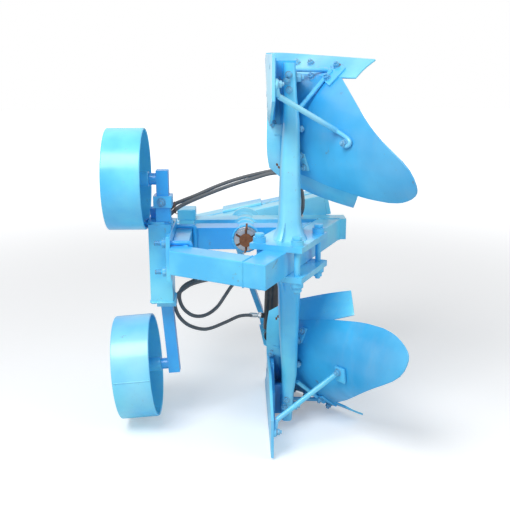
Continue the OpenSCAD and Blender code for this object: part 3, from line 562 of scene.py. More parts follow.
@dataclass
class Studio:
    """A pale floor, soft light and the camera at the photograph's angle."""

    camera_at: Point = (-30.268, -3352.14, 796.699)
    yaw: float = 0.0210020673
    pitch: float = 0.252977696
    roll: float = -0.00292029804
    focal_px: float = 768.532418
    picture_px: float = 510.0
    sensor: float = 36.0
    fill: float = 0.38
    floor_size: float = 40.0
    floor_gap: float = 0.0005

    def add_camera(self) -> None:
        """Put the camera where the photograph was taken from."""
        sy, cy = math.sin(self.yaw), math.cos(self.yaw)
        sp, cp = math.sin(self.pitch), math.cos(self.pitch)
        forward = Vector((sy * cp, cy * cp, -sp))
        flat_right = Vector((cy, -sy, 0.0))
        flat_up = flat_right.cross(forward)
        right = flat_right * math.cos(self.roll) + flat_up * math.sin(self.roll)
        up = flat_up * math.cos(self.roll) - flat_right * math.sin(self.roll)
        data = bpy.data.cameras.new("photo_camera")
        data.sensor_fit = "HORIZONTAL"
        data.sensor_width = self.sensor
        data.lens = self.focal_px / self.picture_px * self.sensor
        data.clip_end = 50.0
        camera = put_in_scene("photo_camera", data)
        turn = Matrix((right, up, -forward)).transposed().to_4x4()
        camera.matrix_world = Matrix.Translation(at(*self.camera_at)) @ turn
        bpy.context.scene.camera = camera

    def add_light(self) -> None:
        """Light the plough softly from all round, and more from above and the left."""
        world = bpy.data.worlds.new("studio_world")
        bpy.context.scene.world = world
        world.use_nodes = True
        nodes, links = world.node_tree.nodes, world.node_tree.links
        nodes.clear()
        rays = nodes.new("ShaderNodeLightPath").outputs
        seen = self._larger(world, rays["Is Glossy Ray"], rays["Is Transmission Ray"])
        seen = self._larger(world, rays["Is Camera Ray"], seen)
        blend = nodes.new("ShaderNodeMixShader")
        links.new(seen, blend.inputs[0])
        links.new(self._sky(world, (0.93, 0.96, 1.0), self.fill), blend.inputs[1])
        links.new(self._sky(world, (1.0, 1.0, 1.0), 1.0), blend.inputs[2])
        out = nodes.new("ShaderNodeOutputWorld")
        links.new(blend.outputs[0], out.inputs["Surface"])
        self._panel("key_light", place=(-1.6, -3.0, 3.2), size=2.2, power=140.0)
        self._panel("fill_light", place=(3.0, -2.4, 1.6), size=2.4, power=30.0)

    @staticmethod
    def _larger(world: bpy.types.World, first: bpy.types.NodeSocket,
                second: bpy.types.NodeSocket) -> bpy.types.NodeSocket:
        """Give the larger of two values in the world's nodes."""
        node = world.node_tree.nodes.new("ShaderNodeMath")
        node.operation = "MAXIMUM"
        world.node_tree.links.new(first, node.inputs[0])
        world.node_tree.links.new(second, node.inputs[1])
        return node.outputs[0]

    @staticmethod
    def _sky(world: bpy.types.World, tint: Point, strength: float) -> bpy.types.NodeSocket:
        """Add an even background to the world's nodes."""
        node = world.node_tree.nodes.new("ShaderNodeBackground")
        node.inputs["Color"].default_value = (*tint, 1.0)
        node.inputs["Strength"].default_value = strength
        return node.outputs[0]

    @staticmethod
    def _panel(name: str, place: Point, size: float, power: float) -> None:
        """Add a soft square lamp that faces the plough."""
        data = bpy.data.lights.new(name, "AREA")
        data.size = size
        data.energy = power
        lamp = put_in_scene(name, data)
        lamp.location = place
        lamp.rotation_euler = (TURNOVER_AXIS - Vector(place)).to_track_quat("-Z", "Y").to_euler()

    def add_floor(self, height: float) -> None:
        """Lay the pale floor that the plough stands on, which glows more where it is further away.

        Args:
            height: Where it lies.
        """
        deselect()
        level = (0.0, 0.0, height - self.floor_gap)
        bpy.ops.mesh.primitive_plane_add(size=self.floor_size, location=level)
        floor = bpy.context.object
        floor.name = "studio_floor"
        s = Shader("pale_floor")
        rays = s.node("ShaderNodeLightPath", {}, {}, "Is Camera Ray")
        away = s.node("ShaderNodeVectorMath", {"operation": "LENGTH"}, {0: s.place()}, "Value")
        glow = s.mix(rays * (0.3 + away.step(1.2, 8.0) * 0.7), (0.0, 0.0, 0.0), (1.0, 1.0, 1.0))
        s.set(Base_Color=(0.86, 0.86, 0.86), Roughness=0.9, Emission_Color=glow, Emission_Strength=1.0)
        floor.data.materials.append(s.material)
        floor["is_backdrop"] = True


# Routes of the hoses, in millimetres about the turnover axis
LOWER_HOSE = (
    (78.8, 345, -475.8), (38.4, 345, -474.2), (-30, 328, -472), (-100, 275, -485), (-170, 185, -483),
    (-216, 118, -463), (-271, 48, -417), (-308, -5, -357), (-323, -42, -289), (-309, -62, -235),
    (-259, -70, -191), (-220, -70, -175), (-178, -62, -167), (-128, -42, -161), (-96, -4, -156),
    (-96, 44, -151), (-132, 78, -146), (-188, 76, -138), (-245, 20, -130), (-300, -42, -122),
    (-350, -68, -104), (-380, -70, -50), (-382, -68, 10), (-370, -66, 62), (-346, -58, 112),
    (-312, -45, 145), (-278, -14, 164), (-223, 26, 183), (-139, 68, 210), (-53, 104, 235), (30, 128, 256),
    (122, 145, 278), (184, 150, 272), (224, 146, 230), (238, 142, 168), (236, 148, 112), (229, 172, 78),
    (223, 204, 64), (222, 240, 62.5))
UPPER_HOSE = (
    (87.6, 345, -252.9), (45.1, 345, -251.3), (12, 330, -256), (-30, 288, -262), (-69, 236, -286),
    (-100, 190, -319), (-136, 140, -358), (-177, 92, -377), (-217, 48, -375), (-255, 14, -355),
    (-288, -10, -315), (-303, -25, -265), (-296, -32, -224), (-271, -36, -195), (-232, -36, -174),
    (-180, -28, -134), (-130, -8, -112), (-104, 30, -105), (-120, 76, -101), (-172, 96, -100),
    (-228, 62, -104), (-275, 6, -114), (-325, -32, -114), (-364, -44, -84), (-380, -42, -30),
    (-376, -38, 20), (-366, -36, 72), (-346, -26, 128), (-315, -12, 165), (-280, 20, 177), (-225, 62, 192),
    (-140, 105, 223), (-53, 140, 249), (45, 165, 271), (142, 180, 286), (208, 186, 274), (250, 182, 228),
    (266, 176, 168), (268, 170, 122), (265, 180, 94), (259, 202, 74), (255, 226, 65), (254, 250, 62.5))


@dataclass
class Hoses:
    """The two hydraulic hoses, from the cylinder's ports round the frame to their parked couplings."""

    paints: Paints
    diameter: float = 0.017
    sides: int = 16
    steps: int = 8
    reference: Point = (0.3, 0.2, 0.93)
    saddle_y: float = 274.0
    hoop: Pairs = ((-16, 51), (-14, 62), (-9, 73), (0, 77.5), (9, 73), (14, 62), (16, 51))

    def build(self) -> None:
        """Make both hoses with their ends."""
        for stem, points in (("lower", LOWER_HOSE), ("upper", UPPER_HOSE)):
            name = stem + "_hose"
            ends = [self._port_end(name, points), self._coupling(name, points)]
            self._hose(name, points, "hose_" + stem, ends)
        self._saddle()
        self._tie()

    def _port_end(self, name: str, points: Sequence[Point]) -> bpy.types.Object:
        """Press the ferrule on and screw its nut to the port's adapter."""
        line = self._route(points)
        start = line[0]
        along = (line[5] - start).normalized()
        parts = [turned(PORT_NUT, start, along, 6), turned(PORT_FERRULE, start, along, 28)]
        return hand_over(join(parts), name + "_port_end", "frame", "zinc", self.paints)

    def _coupling(self, name: str, points: Sequence[Point]) -> bpy.types.Object:
        """Turn the quick coupling with its locking sleeve and dust cap, and the ferrule before it."""
        end = at(*points[-1])
        back = (self._route(points)[-6] - end).normalized()
        parts = [turned(COUPLING_BODY, end, AHEAD, 6), turned(COUPLING_SLEEVE, end, AHEAD, 36),
                 turned(COUPLING_CRIMP, end, back, 28)]
        cap = turned(DUST_CAP, end, AHEAD, 36)
        hand_over(cap, name + "_dust_cap", "frame", "black_paint", self.paints)
        piece = hand_over(join(parts), name + "_coupling", "frame", "zinc", self.paints)
        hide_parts("hose_couplings")
        return piece

    def _saddle(self) -> None:
        """Fix both couplings to the front cross beam with a plate and two hoops."""
        parts = [plate_block(tuple(at(198, 262, 50.0)), tuple(at(278, 286, 52.2)), 0.0008)]
        for points in (LOWER_HOSE, UPPER_HOSE):
            middle = points[-1][0]
            parts.append(bent_rod([at(middle + x, self.saddle_y, z) for x, z in self.hoop], 0.0022))
        hand_over(join(parts), "coupling_saddle", "frame", "zinc", self.paints)
        seats = [(at(x, self.saddle_y, 52), UP) for x in (203.5, 238, 273)]
        nut = Fastener(across=0.011, height=0.005, tail=0.003, washer=0.001)
        nut.put(seats, "saddle_nuts", "frame", "bright_steel", self.paints)

    def _tie(self) -> None:
        """Twist a wire round both hoses where they leave the wheel post."""
        low, high = at(-312, -45, 145), at(-315, -12, 165)
        along = (at(-278, -14, 164) - at(-346, -58, 112)).normalized()
        link = (high - low).normalized()
        side = along.cross(link).normalized()
        wires = []
        for shift in (0.0, 0.0045):
            loop = []
            for k in range(24):
                turn = math.tau * k / 24
                middle = high if math.cos(turn) > 0 else low
                out = link * math.cos(turn) + side * math.sin(turn)
                loop.append(middle + along * shift + out * 0.0108)
            wires.append(bent_rod(loop, 0.0013, closed=True))
        tail = [low - side * 0.011, low - side * 0.02 - link * 0.006, low - side * 0.026 + along * 0.008]
        wires.append(bent_rod(tail, 0.0016))
        hand_over(join(wires), "hose_tie", "frame", "rusty_steel", self.paints)

    def _route(self, points: Sequence[Point]) -> list[Vector]:
        """Smooth a route, passing through each of its points."""
        line = []
        last = len(points) - 1
        places = [at(*p) for p in points]
        for i in range(last):
            a, b = places[max(0, i - 1)], places[i]
            c, d = places[i + 1], places[min(last, i + 2)]
            for k in range(self.steps):
                f = k / self.steps
                bend = (2 * a - 5 * b + 4 * c - d) + f * (3 * (b - c) + d - a)
                line.append(b + 0.5 * f * ((c - a) + f * bend))
        line.append(places[-1])
        return line

    def _hose(self, name: str, points: Sequence[Point], node: str,
              ends: list[bpy.types.Object]) -> None:
        """Sweep one hose, with a UV map that runs along and round it.

        Args:
            name: The name of the piece.
            points: Its route.
            node: The node that it stands for.
            ends: Its port end and its coupling; not used.
        """
        line = self._route(points)
        n, rings = self.sides, len(line)
        verts = []
        for i, middle in enumerate(line):
            verts += rim(middle, heading(line, i), self.reference, self.diameter / 2, n)
        faces = [(i * n + k, i * n + (k + 1) % n, (i + 1) * n + (k + 1) % n, (i + 1) * n + k)
                 for i in range(rings - 1) for k in range(n)]
        faces.append(tuple(range(n))[::-1])
        faces.append(tuple((rings - 1) * n + k for k in range(n)))
        mesh = bpy.data.meshes.new(name)
        mesh.from_pydata(verts, [], faces)
        uv = mesh.uv_layers.new(name="UVMap")
        for face in mesh.polygons[:-2]:
            face.use_smooth = True
            i, k = divmod(face.index, n)
            corners = ((i, k), (i, k + 1), (i + 1, k + 1), (i + 1, k))
            for loop, (ring, spoke) in zip(face.loop_indices, corners):
                uv.data[loop].uv = (ring / rings, spoke / n)
        piece = put_in_scene(name, mesh)
        hand_over(piece, name, "frame", "hose_rubber", self.paints)
        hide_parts(node)
        length = sum((b - a).length for a, b in zip(line, line[1:]))
        log.info("%s is %.3f m long", name, length)


class Rounding(Enum):
    """How edges are rounded: the radius in metres, the facets and the least angle in degrees."""

    TUBE = (0.009, 4, 40.0)
    BAR = (0.004, 3, 40.0)
    PLATE = (0.0022, 2, 40.0)
    SHEET = (0.0018, 2, 50.0)
    SMALL = (0.0008, 2, 40.0)


@dataclass(frozen=True)
class WorkingSurface:
    """The curved face that turns the soil, as y over x and the depth from the turnover axis."""

    wall_y: float = 281.0
    wall_x: float = 100.0
    wall_slope: float = 0.98
    hollow: float = 387.0
    hollow_z: float = 365.0
    hollow_h: float = 345.0
    hollow_power: float = 2.2
    flare: float = 0.0006
    flare_x: float = 400.0
    share_depth: float = 806.0
    plate: float = 8.0

    def front(self, x: float, depth: float) -> Vector:
        """Give the point of the working face at x and a depth, for the upper body."""
        bend = abs((self.share_depth - depth - self.hollow_z) / self.hollow_h) ** self.hollow_power
        wall = self.wall_y - self.wall_slope * (x - self.wall_x)
        y = wall - self.hollow * (1 - bend) * (1 + self.flare * (x - self.flare_x))
        return Vector((x, y, depth))

    def normal(self, x: float, depth: float) -> Vector:
        """Give the direction that the working face looks in."""
        across = (self.front(x + 1, depth) - self.front(x - 1, depth)) / 2
        down = (self.front(x, depth + 1) - self.front(x, depth - 1)) / 2
        out = down.cross(across)
        return (out if out.y > 0 else -out).normalized()

    def ahead(self, x: float, depth: float, lift: float) -> Vector:
        """Give the point at x and a depth that is moved forward from the working face by lift."""
        return self.front(x, depth) + self.normal(x, depth) * lift

    def back(self, x: float, depth: float, lift: float) -> Vector:
        """Give the point of the back face at x and a depth, moved out by lift."""
        return self.front(x, depth) - self.normal(x, depth) * (self.plate + lift)


def on_side(point: Vector, side: Side) -> Vector:
    """Put a point of the upper body, in millimetres, on the body of the given side, in metres."""
    return at(point.x, point.y, point.z * side.value)


def facing(direction: Vector, side: Side) -> Vector:
    """Turn a direction of the upper body to the body of the given side."""
    return Vector((direction.x, direction.y, direction.z * side.value)).normalized()


def finish_edges(piece: bpy.types.Object, width: float, facets: int = 2, angle: float = 30.0) -> None:
    """Round a new piece's edges and smooth it.

    Args:
        piece: The piece.
        width: The radius of the round, in metres.
        facets: How many facets the round has.
        angle: The least angle of an edge that is rounded, in degrees.
    """
    edge = piece.modifiers.new("round_edges", "BEVEL")
    edge.width = width
    edge.segments = facets
    edge.limit_method = "ANGLE"
    edge.angle_limit = math.radians(angle)
    activate(piece)
    bpy.ops.object.modifier_apply(modifier=edge.name)
    bpy.ops.object.shade_smooth_by_angle(angle=math.radians(35.0))


def settle(piece: bpy.types.Object) -> None:
    """Move a piece's place into its mesh."""
    activate(piece)
    bpy.ops.object.transform_apply(location=True, rotation=True, scale=True)


def join(parts: Sequence[bpy.types.Object]) -> bpy.types.Object:
    """Join several objects into the first."""
    deselect()
    for part in parts:
        part.select_set(True)
    bpy.context.view_layer.objects.active = parts[0]
    if len(parts) > 1:
        bpy.ops.object.join()
    return parts[0]


def upright_to(direction: Vector, spin: float = 0.0) -> Matrix:
    """Give the turn that lays the Z axis along a direction, after a spin about Z."""
    return direction.to_track_quat("Z", "Y").to_matrix().to_4x4() @ Matrix.Rotation(spin, 4, "Z")


def activate(piece: bpy.types.Object) -> None:
    """Select a piece alone and make it the active one."""
    deselect()
    piece.select_set(True)
    bpy.context.view_layer.objects.active = piece


def close_shell(piece: bpy.types.Object) -> None:
    """Merge a piece's doubles and turn its faces outwards."""
    activate(piece)
    bpy.ops.object.mode_set(mode="EDIT")
    bpy.ops.mesh.select_all(action="SELECT")
    bpy.ops.mesh.remove_doubles(threshold=0.00001)
    bpy.ops.mesh.normals_make_consistent(inside=False)
    bpy.ops.object.mode_set(mode="OBJECT")


def heading(line: Sequence[Vector], i: int) -> Vector:
    """Give the direction of a line of points at one of them."""
    return (line[min(i + 1, len(line) - 1)] - line[max(i - 1, 0)]).normalized()


def rim(middle: Vector, along: Vector, reference: Point, radius: float, count: int) -> list[Vector]:
    """Give the points of a ring that is square to a run.

    Args:
        middle: The middle of the ring.
        along: The direction of the run.
        reference: A direction that the run never has, which keeps the rings from twisting.
        radius: The radius of the ring.
        count: How many points it has.

    Returns:
        The points.
    """
    side = along.cross(Vector(reference)).normalized()
    up = side.cross(along)
    turns = [math.tau * k / count for k in range(count)]
    return [middle + (side * math.cos(turn) + up * math.sin(turn)) * radius for turn in turns]


def bent_rod(points: Sequence[Vector], radius: float, closed: bool = False) -> bpy.types.Object:
    """Bend a round bar or wire through points.

    Args:
        points: Where it runs, in metres.
        radius: Its radius.
        closed: Whether it is a ring.

    Returns:
        The bar.
    """
    data = bpy.data.curves.new("bar", "CURVE")
    data.dimensions = "3D"
    data.bevel_depth = radius
    data.bevel_resolution = 4
    data.resolution_u = 5
    data.use_fill_caps = not closed
    line = data.splines.new("NURBS")
    line.points.add(len(points) - 1)
    for knot, place in zip(line.points, points):
        knot.co = (*place, 1.0)
    line.order_u = 3
    line.use_endpoint_u = not closed
    line.use_cyclic_u = closed
    activate(put_in_scene("bar", data))
    bpy.ops.object.convert(target="MESH")
    bar = bpy.context.object
    close_shell(bar)
    bpy.ops.object.shade_smooth_by_angle(angle=math.radians(45.0))
    return bar


def turned(profile: Pairs, seat: Vector, direction: Vector, steps: int) -> bpy.types.Object:
    """Turn a closed profile about a line, as on a lathe.

    Args:
        profile: The corners as radius and height, in metres.
        seat: Where height 0 is.
        direction: Which way the height rises.
        steps: How many facets it has round.

    Returns:
        The turned part.
    """
    mesh = bpy.data.meshes.new("turned")
    count = len(profile)
    outline = [(i, (i + 1) % count) for i in range(count)]
    mesh.from_pydata([(r, 0.0, h) for r, h in profile], outline, [])
    part = put_in_scene("turned", mesh)
    activate(part)
    bpy.ops.object.mode_set(mode="EDIT")
    bpy.ops.mesh.select_all(action="SELECT")
    bpy.ops.mesh.spin(steps=steps, angle=math.tau, center=(0.0, 0.0, 0.0), axis=(0.0, 0.0, 1.0))
    bpy.ops.object.mode_set(mode="OBJECT")
    close_shell(part)
    bpy.ops.object.shade_smooth_by_angle(angle=math.radians(35.0))
    part.matrix_world = Matrix.Translation(seat) @ upright_to(direction)
    bpy.context.view_layer.update()
    settle(part)
    return part


def laid_sheet(place: Callable[[float, float], Vector], across: int, along: int, thick: float,
               edge: float) -> bpy.types.Object:
    """Form a plate whose middle follows a surface.

    Args:
        place: The surface, over two numbers from 0 to 1, in metres.
        across: Cells along the first.
        along: Cells along the second.
        thick: The thickness of the plate.
        edge: The radius of its edges.

    Returns:
        The plate.
    """
    deselect()
    bpy.ops.mesh.primitive_grid_add(x_subdivisions=across, y_subdivisions=along, size=1.0)
    plate = bpy.context.object
    for corner in plate.data.vertices:
        corner.co = place(corner.co.x + 0.5, corner.co.y + 0.5)
    wall = plate.modifiers.new("wall", "SOLIDIFY")
    wall.thickness = thick
    wall.offset = 0.0
    activate(plate)
    bpy.ops.object.modifier_apply(modifier=wall.name)
    finish_edges(plate, edge, angle=50.0)
    return plate


def plate_block(low: Point, high: Point, edge: float) -> bpy.types.Object:
    """Cut a block between two corners, given in metres, and round its edges."""
    deselect()
    middle = [(a + b) / 2 for a, b in zip(low, high)]
    bpy.ops.mesh.primitive_cube_add(size=1.0, location=middle, scale=[b - a for a, b in zip(low, high)])
    block = bpy.context.object
    settle(block)
    finish_edges(block, edge)
    return block


def ring_of(centre: Vector, axis: Vector, radius: float, count: int) -> list[Vector]:
    """Give points spaced evenly round a circle."""
    turn = upright_to(axis).to_3x3()
    angles = [math.tau * k / count for k in range(count)]
    return [centre + turn @ Vector((math.cos(a), math.sin(a), 0.0)) * radius for a in angles]


@dataclass(frozen=True)
class Fastener:
    """A hexagon nut or head on a washer, with the end of its bolt: modelled once, then copied.

    Attributes:
        across: The width across flats.
        height: The height of the hexagon.
        tail: How far the bolt stands out of it.
        washer: The thickness of the washer.
    """

    across: float = 0.024
    height: float = 0.012
    tail: float = 0.008
    washer: float = 0.0025

    def _hexagon(self) -> bpy.types.Object:
        """Model the hexagon, its chamfer raised from an inset top."""
        radius = self.across / 2 / math.cos(math.pi / 6)
        middle = (0, 0, self.washer + self.height / 2)
        bpy.ops.mesh.primitive_cylinder_add(vertices=6, radius=radius, depth=self.height, location=middle)
        nut = bpy.context.object
        finish_edges(nut, self.across * 0.07)
        return nut

    @staticmethod
    def _round(radius: float, depth: float, middle: float, facets: int) -> bpy.types.Object:
        """Model a round part with a chamfered rim."""
        place = (0, 0, middle)
        bpy.ops.mesh.primitive_cylinder_add(vertices=facets, radius=radius, depth=depth, location=place)
        part = bpy.context.object
        finish_edges(part, min(depth * 0.3, 0.0015), facets=1)
        return part

    def _mould(self) -> bpy.types.Mesh:
        """Model the fastener at the origin, standing on Z."""
        parts = [self._hexagon(), self._round(self.across * 0.72, self.washer, self.washer / 2, 20)]
        if self.tail > 0:
            length = self.tail + self.height * 0.5
            middle = self.washer + self.height + self.tail - length / 2
            parts.append(self._round(self.across * 0.31, length, middle, 16))
        for part in parts:
            settle(part)
        piece = join(parts)
        mesh = piece.data
        bpy.data.objects.remove(piece)
        return mesh

    def put(self, seats: Iterable[Seat], name: str, body: str, slot: str,
            paints: Paints) -> bpy.types.Object:
        """Put copies on seats, joined into one piece.

        Args:
            seats: For each copy its place and the direction that it stands in, in metres.
            name: The name of the piece.
            body: The body that it moves with.
            slot: The slot of its finish.
            paints: The finishes.

        Returns:
            The piece.
        """
        mould = self._mould()
        copies = []
        for number, (place, direction) in enumerate(seats):
            copy = put_in_scene(name, mould.copy())
            copy.matrix_world = Matrix.Translation(place) @ upright_to(direction, 0.4 + 0.9 * number)
            bpy.context.view_layer.update()
            settle(copy)
            copies.append(copy)
        return hand_over(join(copies), name, body, slot, paints)


@dataclass
class Weld:
    """A weld bead: a rippled half round laid along a line."""

    paints: Paints
    sides: int = 8
    reference: Point = (0.31, 0.22, 0.93)

    def lay(self, name: str, body: str, lines: Sequence[Sequence[Vector]], radius: float) -> None:
        """Lay beads and join them into one painted piece.

        Args:
            name: The name of the piece.
            body: The body that it moves with.
            lines: The corners that each bead runs through, in metres.
            radius: Half its width.
        """
        verts: list[Vector] = []
        faces: list[tuple[int, ...]] = []
        for line in lines:
            self._bead(line, radius, verts, faces)
        mesh = bpy.data.meshes.new(name)
        mesh.from_pydata(verts, [], faces)
        for face in mesh.polygons:
            face.use_smooth = True
        hand_over(put_in_scene(name, mesh), name, body, "blue_paint", self.paints)

    @staticmethod
    def _paced(line: Sequence[Vector], pitch: float) -> list[Vector]:
        """Give points along a line of corners, about a pitch apart."""
        out = [line[0]]
        for a, b in zip(line, line[1:]):
            rings = max(1, round((b - a).length / pitch))
            out += [a.lerp(b, k / rings) for k in range(1, rings + 1)]
        return out

    def _bead(self, line: Sequence[Vector], radius: float, verts: list[Vector],
              faces: list[tuple[int, ...]]) -> None:
        """Add one bead's rings, each a little thicker or thinner than the last, and close its ends."""
        places = self._paced(line, radius * 0.8)
        first, n, last = len(verts), self.sides, len(places) - 1
        for i, middle in enumerate(places):
            ripple = 1.0 + 0.16 * math.sin(2.1 * i) + 0.1 * math.sin(0.53 * i + 1.0)
            taper = 0.35 if i in (0, last) else 1.0
            verts += rim(middle, heading(places, i), self.reference, radius * ripple * taper, n)
        for i in range(last):
            for k in range(n):
                low, high = first + i * n, first + (i + 1) * n
                faces.append((low + k, high + k, high + (k + 1) % n, low + (k + 1) % n))
        faces.append(tuple(first + k for k in range(n)))
        faces.append(tuple(first + last * n + k for k in range(n))[::-1])


@dataclass
class BodyFittings:
    """Fasteners, straps, brace and trash board of one plough body.

    Places are given for the upper body, in millimetres, and mirrored for the lower one. A place with two
    numbers is x and depth on the boards, and a third number there is how far it stands off their back.
    """

    paints: Paints
    side: Side
    surface: WorkingSurface = field(default_factory=WorkingSurface)
    board_nuts: tuple[Point, ...] = (
        (233, 760, 0), (287, 759, 0), (283, 705, 0), (384, 743, 8), (341, 698, 8))
    shin_nut: tuple[float, float] = (126, 517)
    shin_bolts: Pairs = ((140, 350), (148, 339))
    leg_nuts: tuple[Point, ...] = ((170, -241, 726), (163, -241, 702), (172, -241, 667))
    leg_bolt: Point = (216, -214, 511)
    leg_pivot: Point = (202, -200, 714)
    landside_heads: tuple[Point, ...] = ((93, -60, 600), (93, 20, 640), (93, -300, 760))
    strap_ends: Pairs = ((332, 684), (402, 752))
    strap_width: float = 34.0
    trash_corners: Pairs = ((212, 254), (448, 178), (205, 352), (447, 252))
    trash_sag: float = 6.0
    trash_forward: float = 44.0
    trash_nuts: Pairs = ((238, 404), (252, 360))
    brace_heel: Point = (118.4, -458, 654)
    brace_hook: tuple[Point, ...] = (
        (350, 521, 15), (372, 508, 13), (394, 494, 9), (405, 484, 8), (408, 474, 8), (402, 463, 8),
        (392, 461, 8))
    brace_web: tuple[Point, ...] = ((111, -478, 688), (113, -470, 670), (117.6, -459, 656))

    def build(self) -> None:
        """Make all the fittings of the body."""
        self._bolt_boards()
        self._bolt_leg()
        self._strap_boards()
        self._hang_trash_board()
        self._brace_wing()

    def _at(self, x: float, y: float, z: float) -> Vector:
        """Put a point of the upper body on this body."""
        return on_side(Vector((x, y, z)), self.side)

    def _behind(self, x: float, z: float, lift: float) -> Vector:
        """Put a point behind the boards on this body."""
        return on_side(self.surface.back(x, z, lift), self.side)

    def _seat(self, x: float, z: float, lift: float = 0.0) -> Seat:
        """Give a seat behind the boards: its place, and the direction away from them."""
        return self._behind(x, z, lift), facing(-self.surface.normal(x, z), self.side)

    def _towards(self, direction: Point) -> Vector:
        """Turn a direction of the upper body to this body."""
        return facing(Vector(direction), self.side)

    def _finish(self, piece: bpy.types.Object, stem: str, slot: str = "blue_paint") -> bpy.types.Object:
        """Hand a piece over under this body's name."""
        return hand_over(piece, f"{self.side.stem}_{stem}", "frame", slot, self.paints)

    def _fasten(self, kind: Fastener, seats: Iterable[Seat], stem: str) -> None:
        """Put painted fasteners on seats, under this body's name."""
        kind.put(seats, f"{self.side.stem}_{stem}", "frame", "nut_paint", self.paints)

    def _bolt_boards(self) -> None:
        """Put the nuts of the plough bolts on the back of share, mouldboard and shin."""
        self._fasten(Fastener(), [self._seat(*spot) for spot in self.board_nuts], "board_nuts")
        self._fasten(Fastener(height=0.014), [self._seat(*self.shin_nut)], "shin_nut")
        ends = [turned(SHIN_BOLT_END, *self._seat(*spot, 0.1), 20) for spot in self.shin_bolts]
        self._finish(join(ends), "shin_bolt_ends", "rusty_steel")

    def _bolt_leg(self) -> None:
        """Put the bolts through the leg and the landside."""
        rearward, outward, inward = (self._towards(way) for way in ((0, -1, 0), (1, 0, 0), (-1, 0, 0)))
        nuts = [(self._at(*spot), rearward) for spot in self.leg_nuts]
        self._fasten(Fastener(across=0.021, tail=0.006), nuts, "leg_nuts")
        bolt = Fastener(across=0.026, tail=0.006)
        self._fasten(bolt, [(self._at(*self.leg_bolt), outward)], "leg_bolt")
        pivot = Fastener(across=0.034, height=0.018, tail=0.012)
        self._fasten(pivot, [(self._at(*self.leg_pivot), outward)], "leg_pivot_nut")
        heads = [turned(LANDSIDE_HEAD, self._at(*spot), inward, 28) for spot in self.landside_heads]
        self._finish(join(heads), "landside_heads", "nut_paint")

    def _strap_boards(self) -> None:
        """Lay the joint strap over share and mouldboard, and the tab behind the shin."""
        start, end = (Vector(spot) for spot in self.strap_ends)
        run = end - start
        square = Vector((-run.y, run.x)).normalized() * self.strap_width

        def strap(u: float, v: float) -> Vector:
            """Follow the back of the boards along the strap."""
            place = start + run * u + square * (v - 0.5)
            return self._behind(place.x, place.y, 4.2)

        def tab(u: float, v: float) -> Vector:
            """Follow the back of the shin."""
            return self._behind(130 + 32 * u, 474 + 44 * v, 3.4)

        self._finish(laid_sheet(strap, across=10, along=4, thick=0.008, edge=0.0016), "joint_strap")
        self._finish(laid_sheet(tab, across=4, along=5, thick=0.006, edge=0.0014), "shin_tab")

    def _hang_trash_board(self) -> None:
        """Fix the trash board ahead of the mouldboard's edge, with its angle behind."""
        a, b, c, d = (Vector(corner) for corner in self.trash_corners)

        def face(u: float, v: float) -> Vector:
            """Follow the working surface between the board's corners, with its outer edge sagging."""
            low = a.lerp(b, u) + Vector((0, -self.trash_sag * math.sin(math.pi * u)))
            place = low.lerp(c.lerp(d, u), v)
            forward = Vector((0, self.trash_forward * u ** 1.5, 0))
            return on_side(self.surface.ahead(place.x, place.y, 5.0) + forward, self.side)

        def angle(u: float, v: float) -> Vector:
            """Follow the back of the mouldboard along the board's angle."""
            return self._behind(226 + 20 * v + 22 * u, 412 - 66 * u, 4.2)

        board = laid_sheet(face, across=20, along=8, thick=0.006, edge=0.002)
        bar = laid_sheet(angle, across=8, along=3, thick=0.008, edge=0.0014)
        piece = self._finish(join([board, bar]), "trash_board")
        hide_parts("trash_board_" + self.side.name.lower())
        seats = [self._seat(*spot, 8.3) for spot in self.trash_nuts]
        self._fasten(Fastener(across=0.022, height=0.011, tail=0.006), seats, "trash_board_nuts")

    def _brace_wing(self) -> None:
        """Bend the brace from the landside's heel to the mouldboard's wing: a hook above, a plate below."""

        def plate(u: float, v: float) -> Vector:
            """Follow the back of the mouldboard where the lower brace ends."""
            return self._behind(376 + 34 * u + 6 * v, 450 + 62 * v, 7.0)

        upper = self.side is Side.UPPER
        heel = self._at(*self.brace_heel)
        knee = self._behind(366, 512, 15) if upper else self._behind(388, 474, 17)
        tube = bent_rod([heel, heel.lerp(knee, 0.5), knee], 0.011)
        if upper:
            end = bent_rod([self._behind(*spot) for spot in self.brace_hook], 0.0085)
        else:
            end = laid_sheet(plate, across=4, along=6, thick=0.010, edge=0.0016)
        outward = self._towards((1, 0, 0))
        lug = turned(BRACE_LUG, self._at(105.4, -480, 698), outward, 32)
        web = bent_rod([self._at(*spot) for spot in self.brace_web], 0.0095)
        piece = self._finish(join([tube, end, lug, web]), "brace")
        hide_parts("brace_" + self.side.name.lower())
        seats = [(self._behind(390, 471, 9), facing(-self.surface.normal(392, 469), self.side)),
                 (self._at(114.4, -480, 698), outward)]
        self._fasten(Fastener(washer=0.004), seats, "brace_nuts")


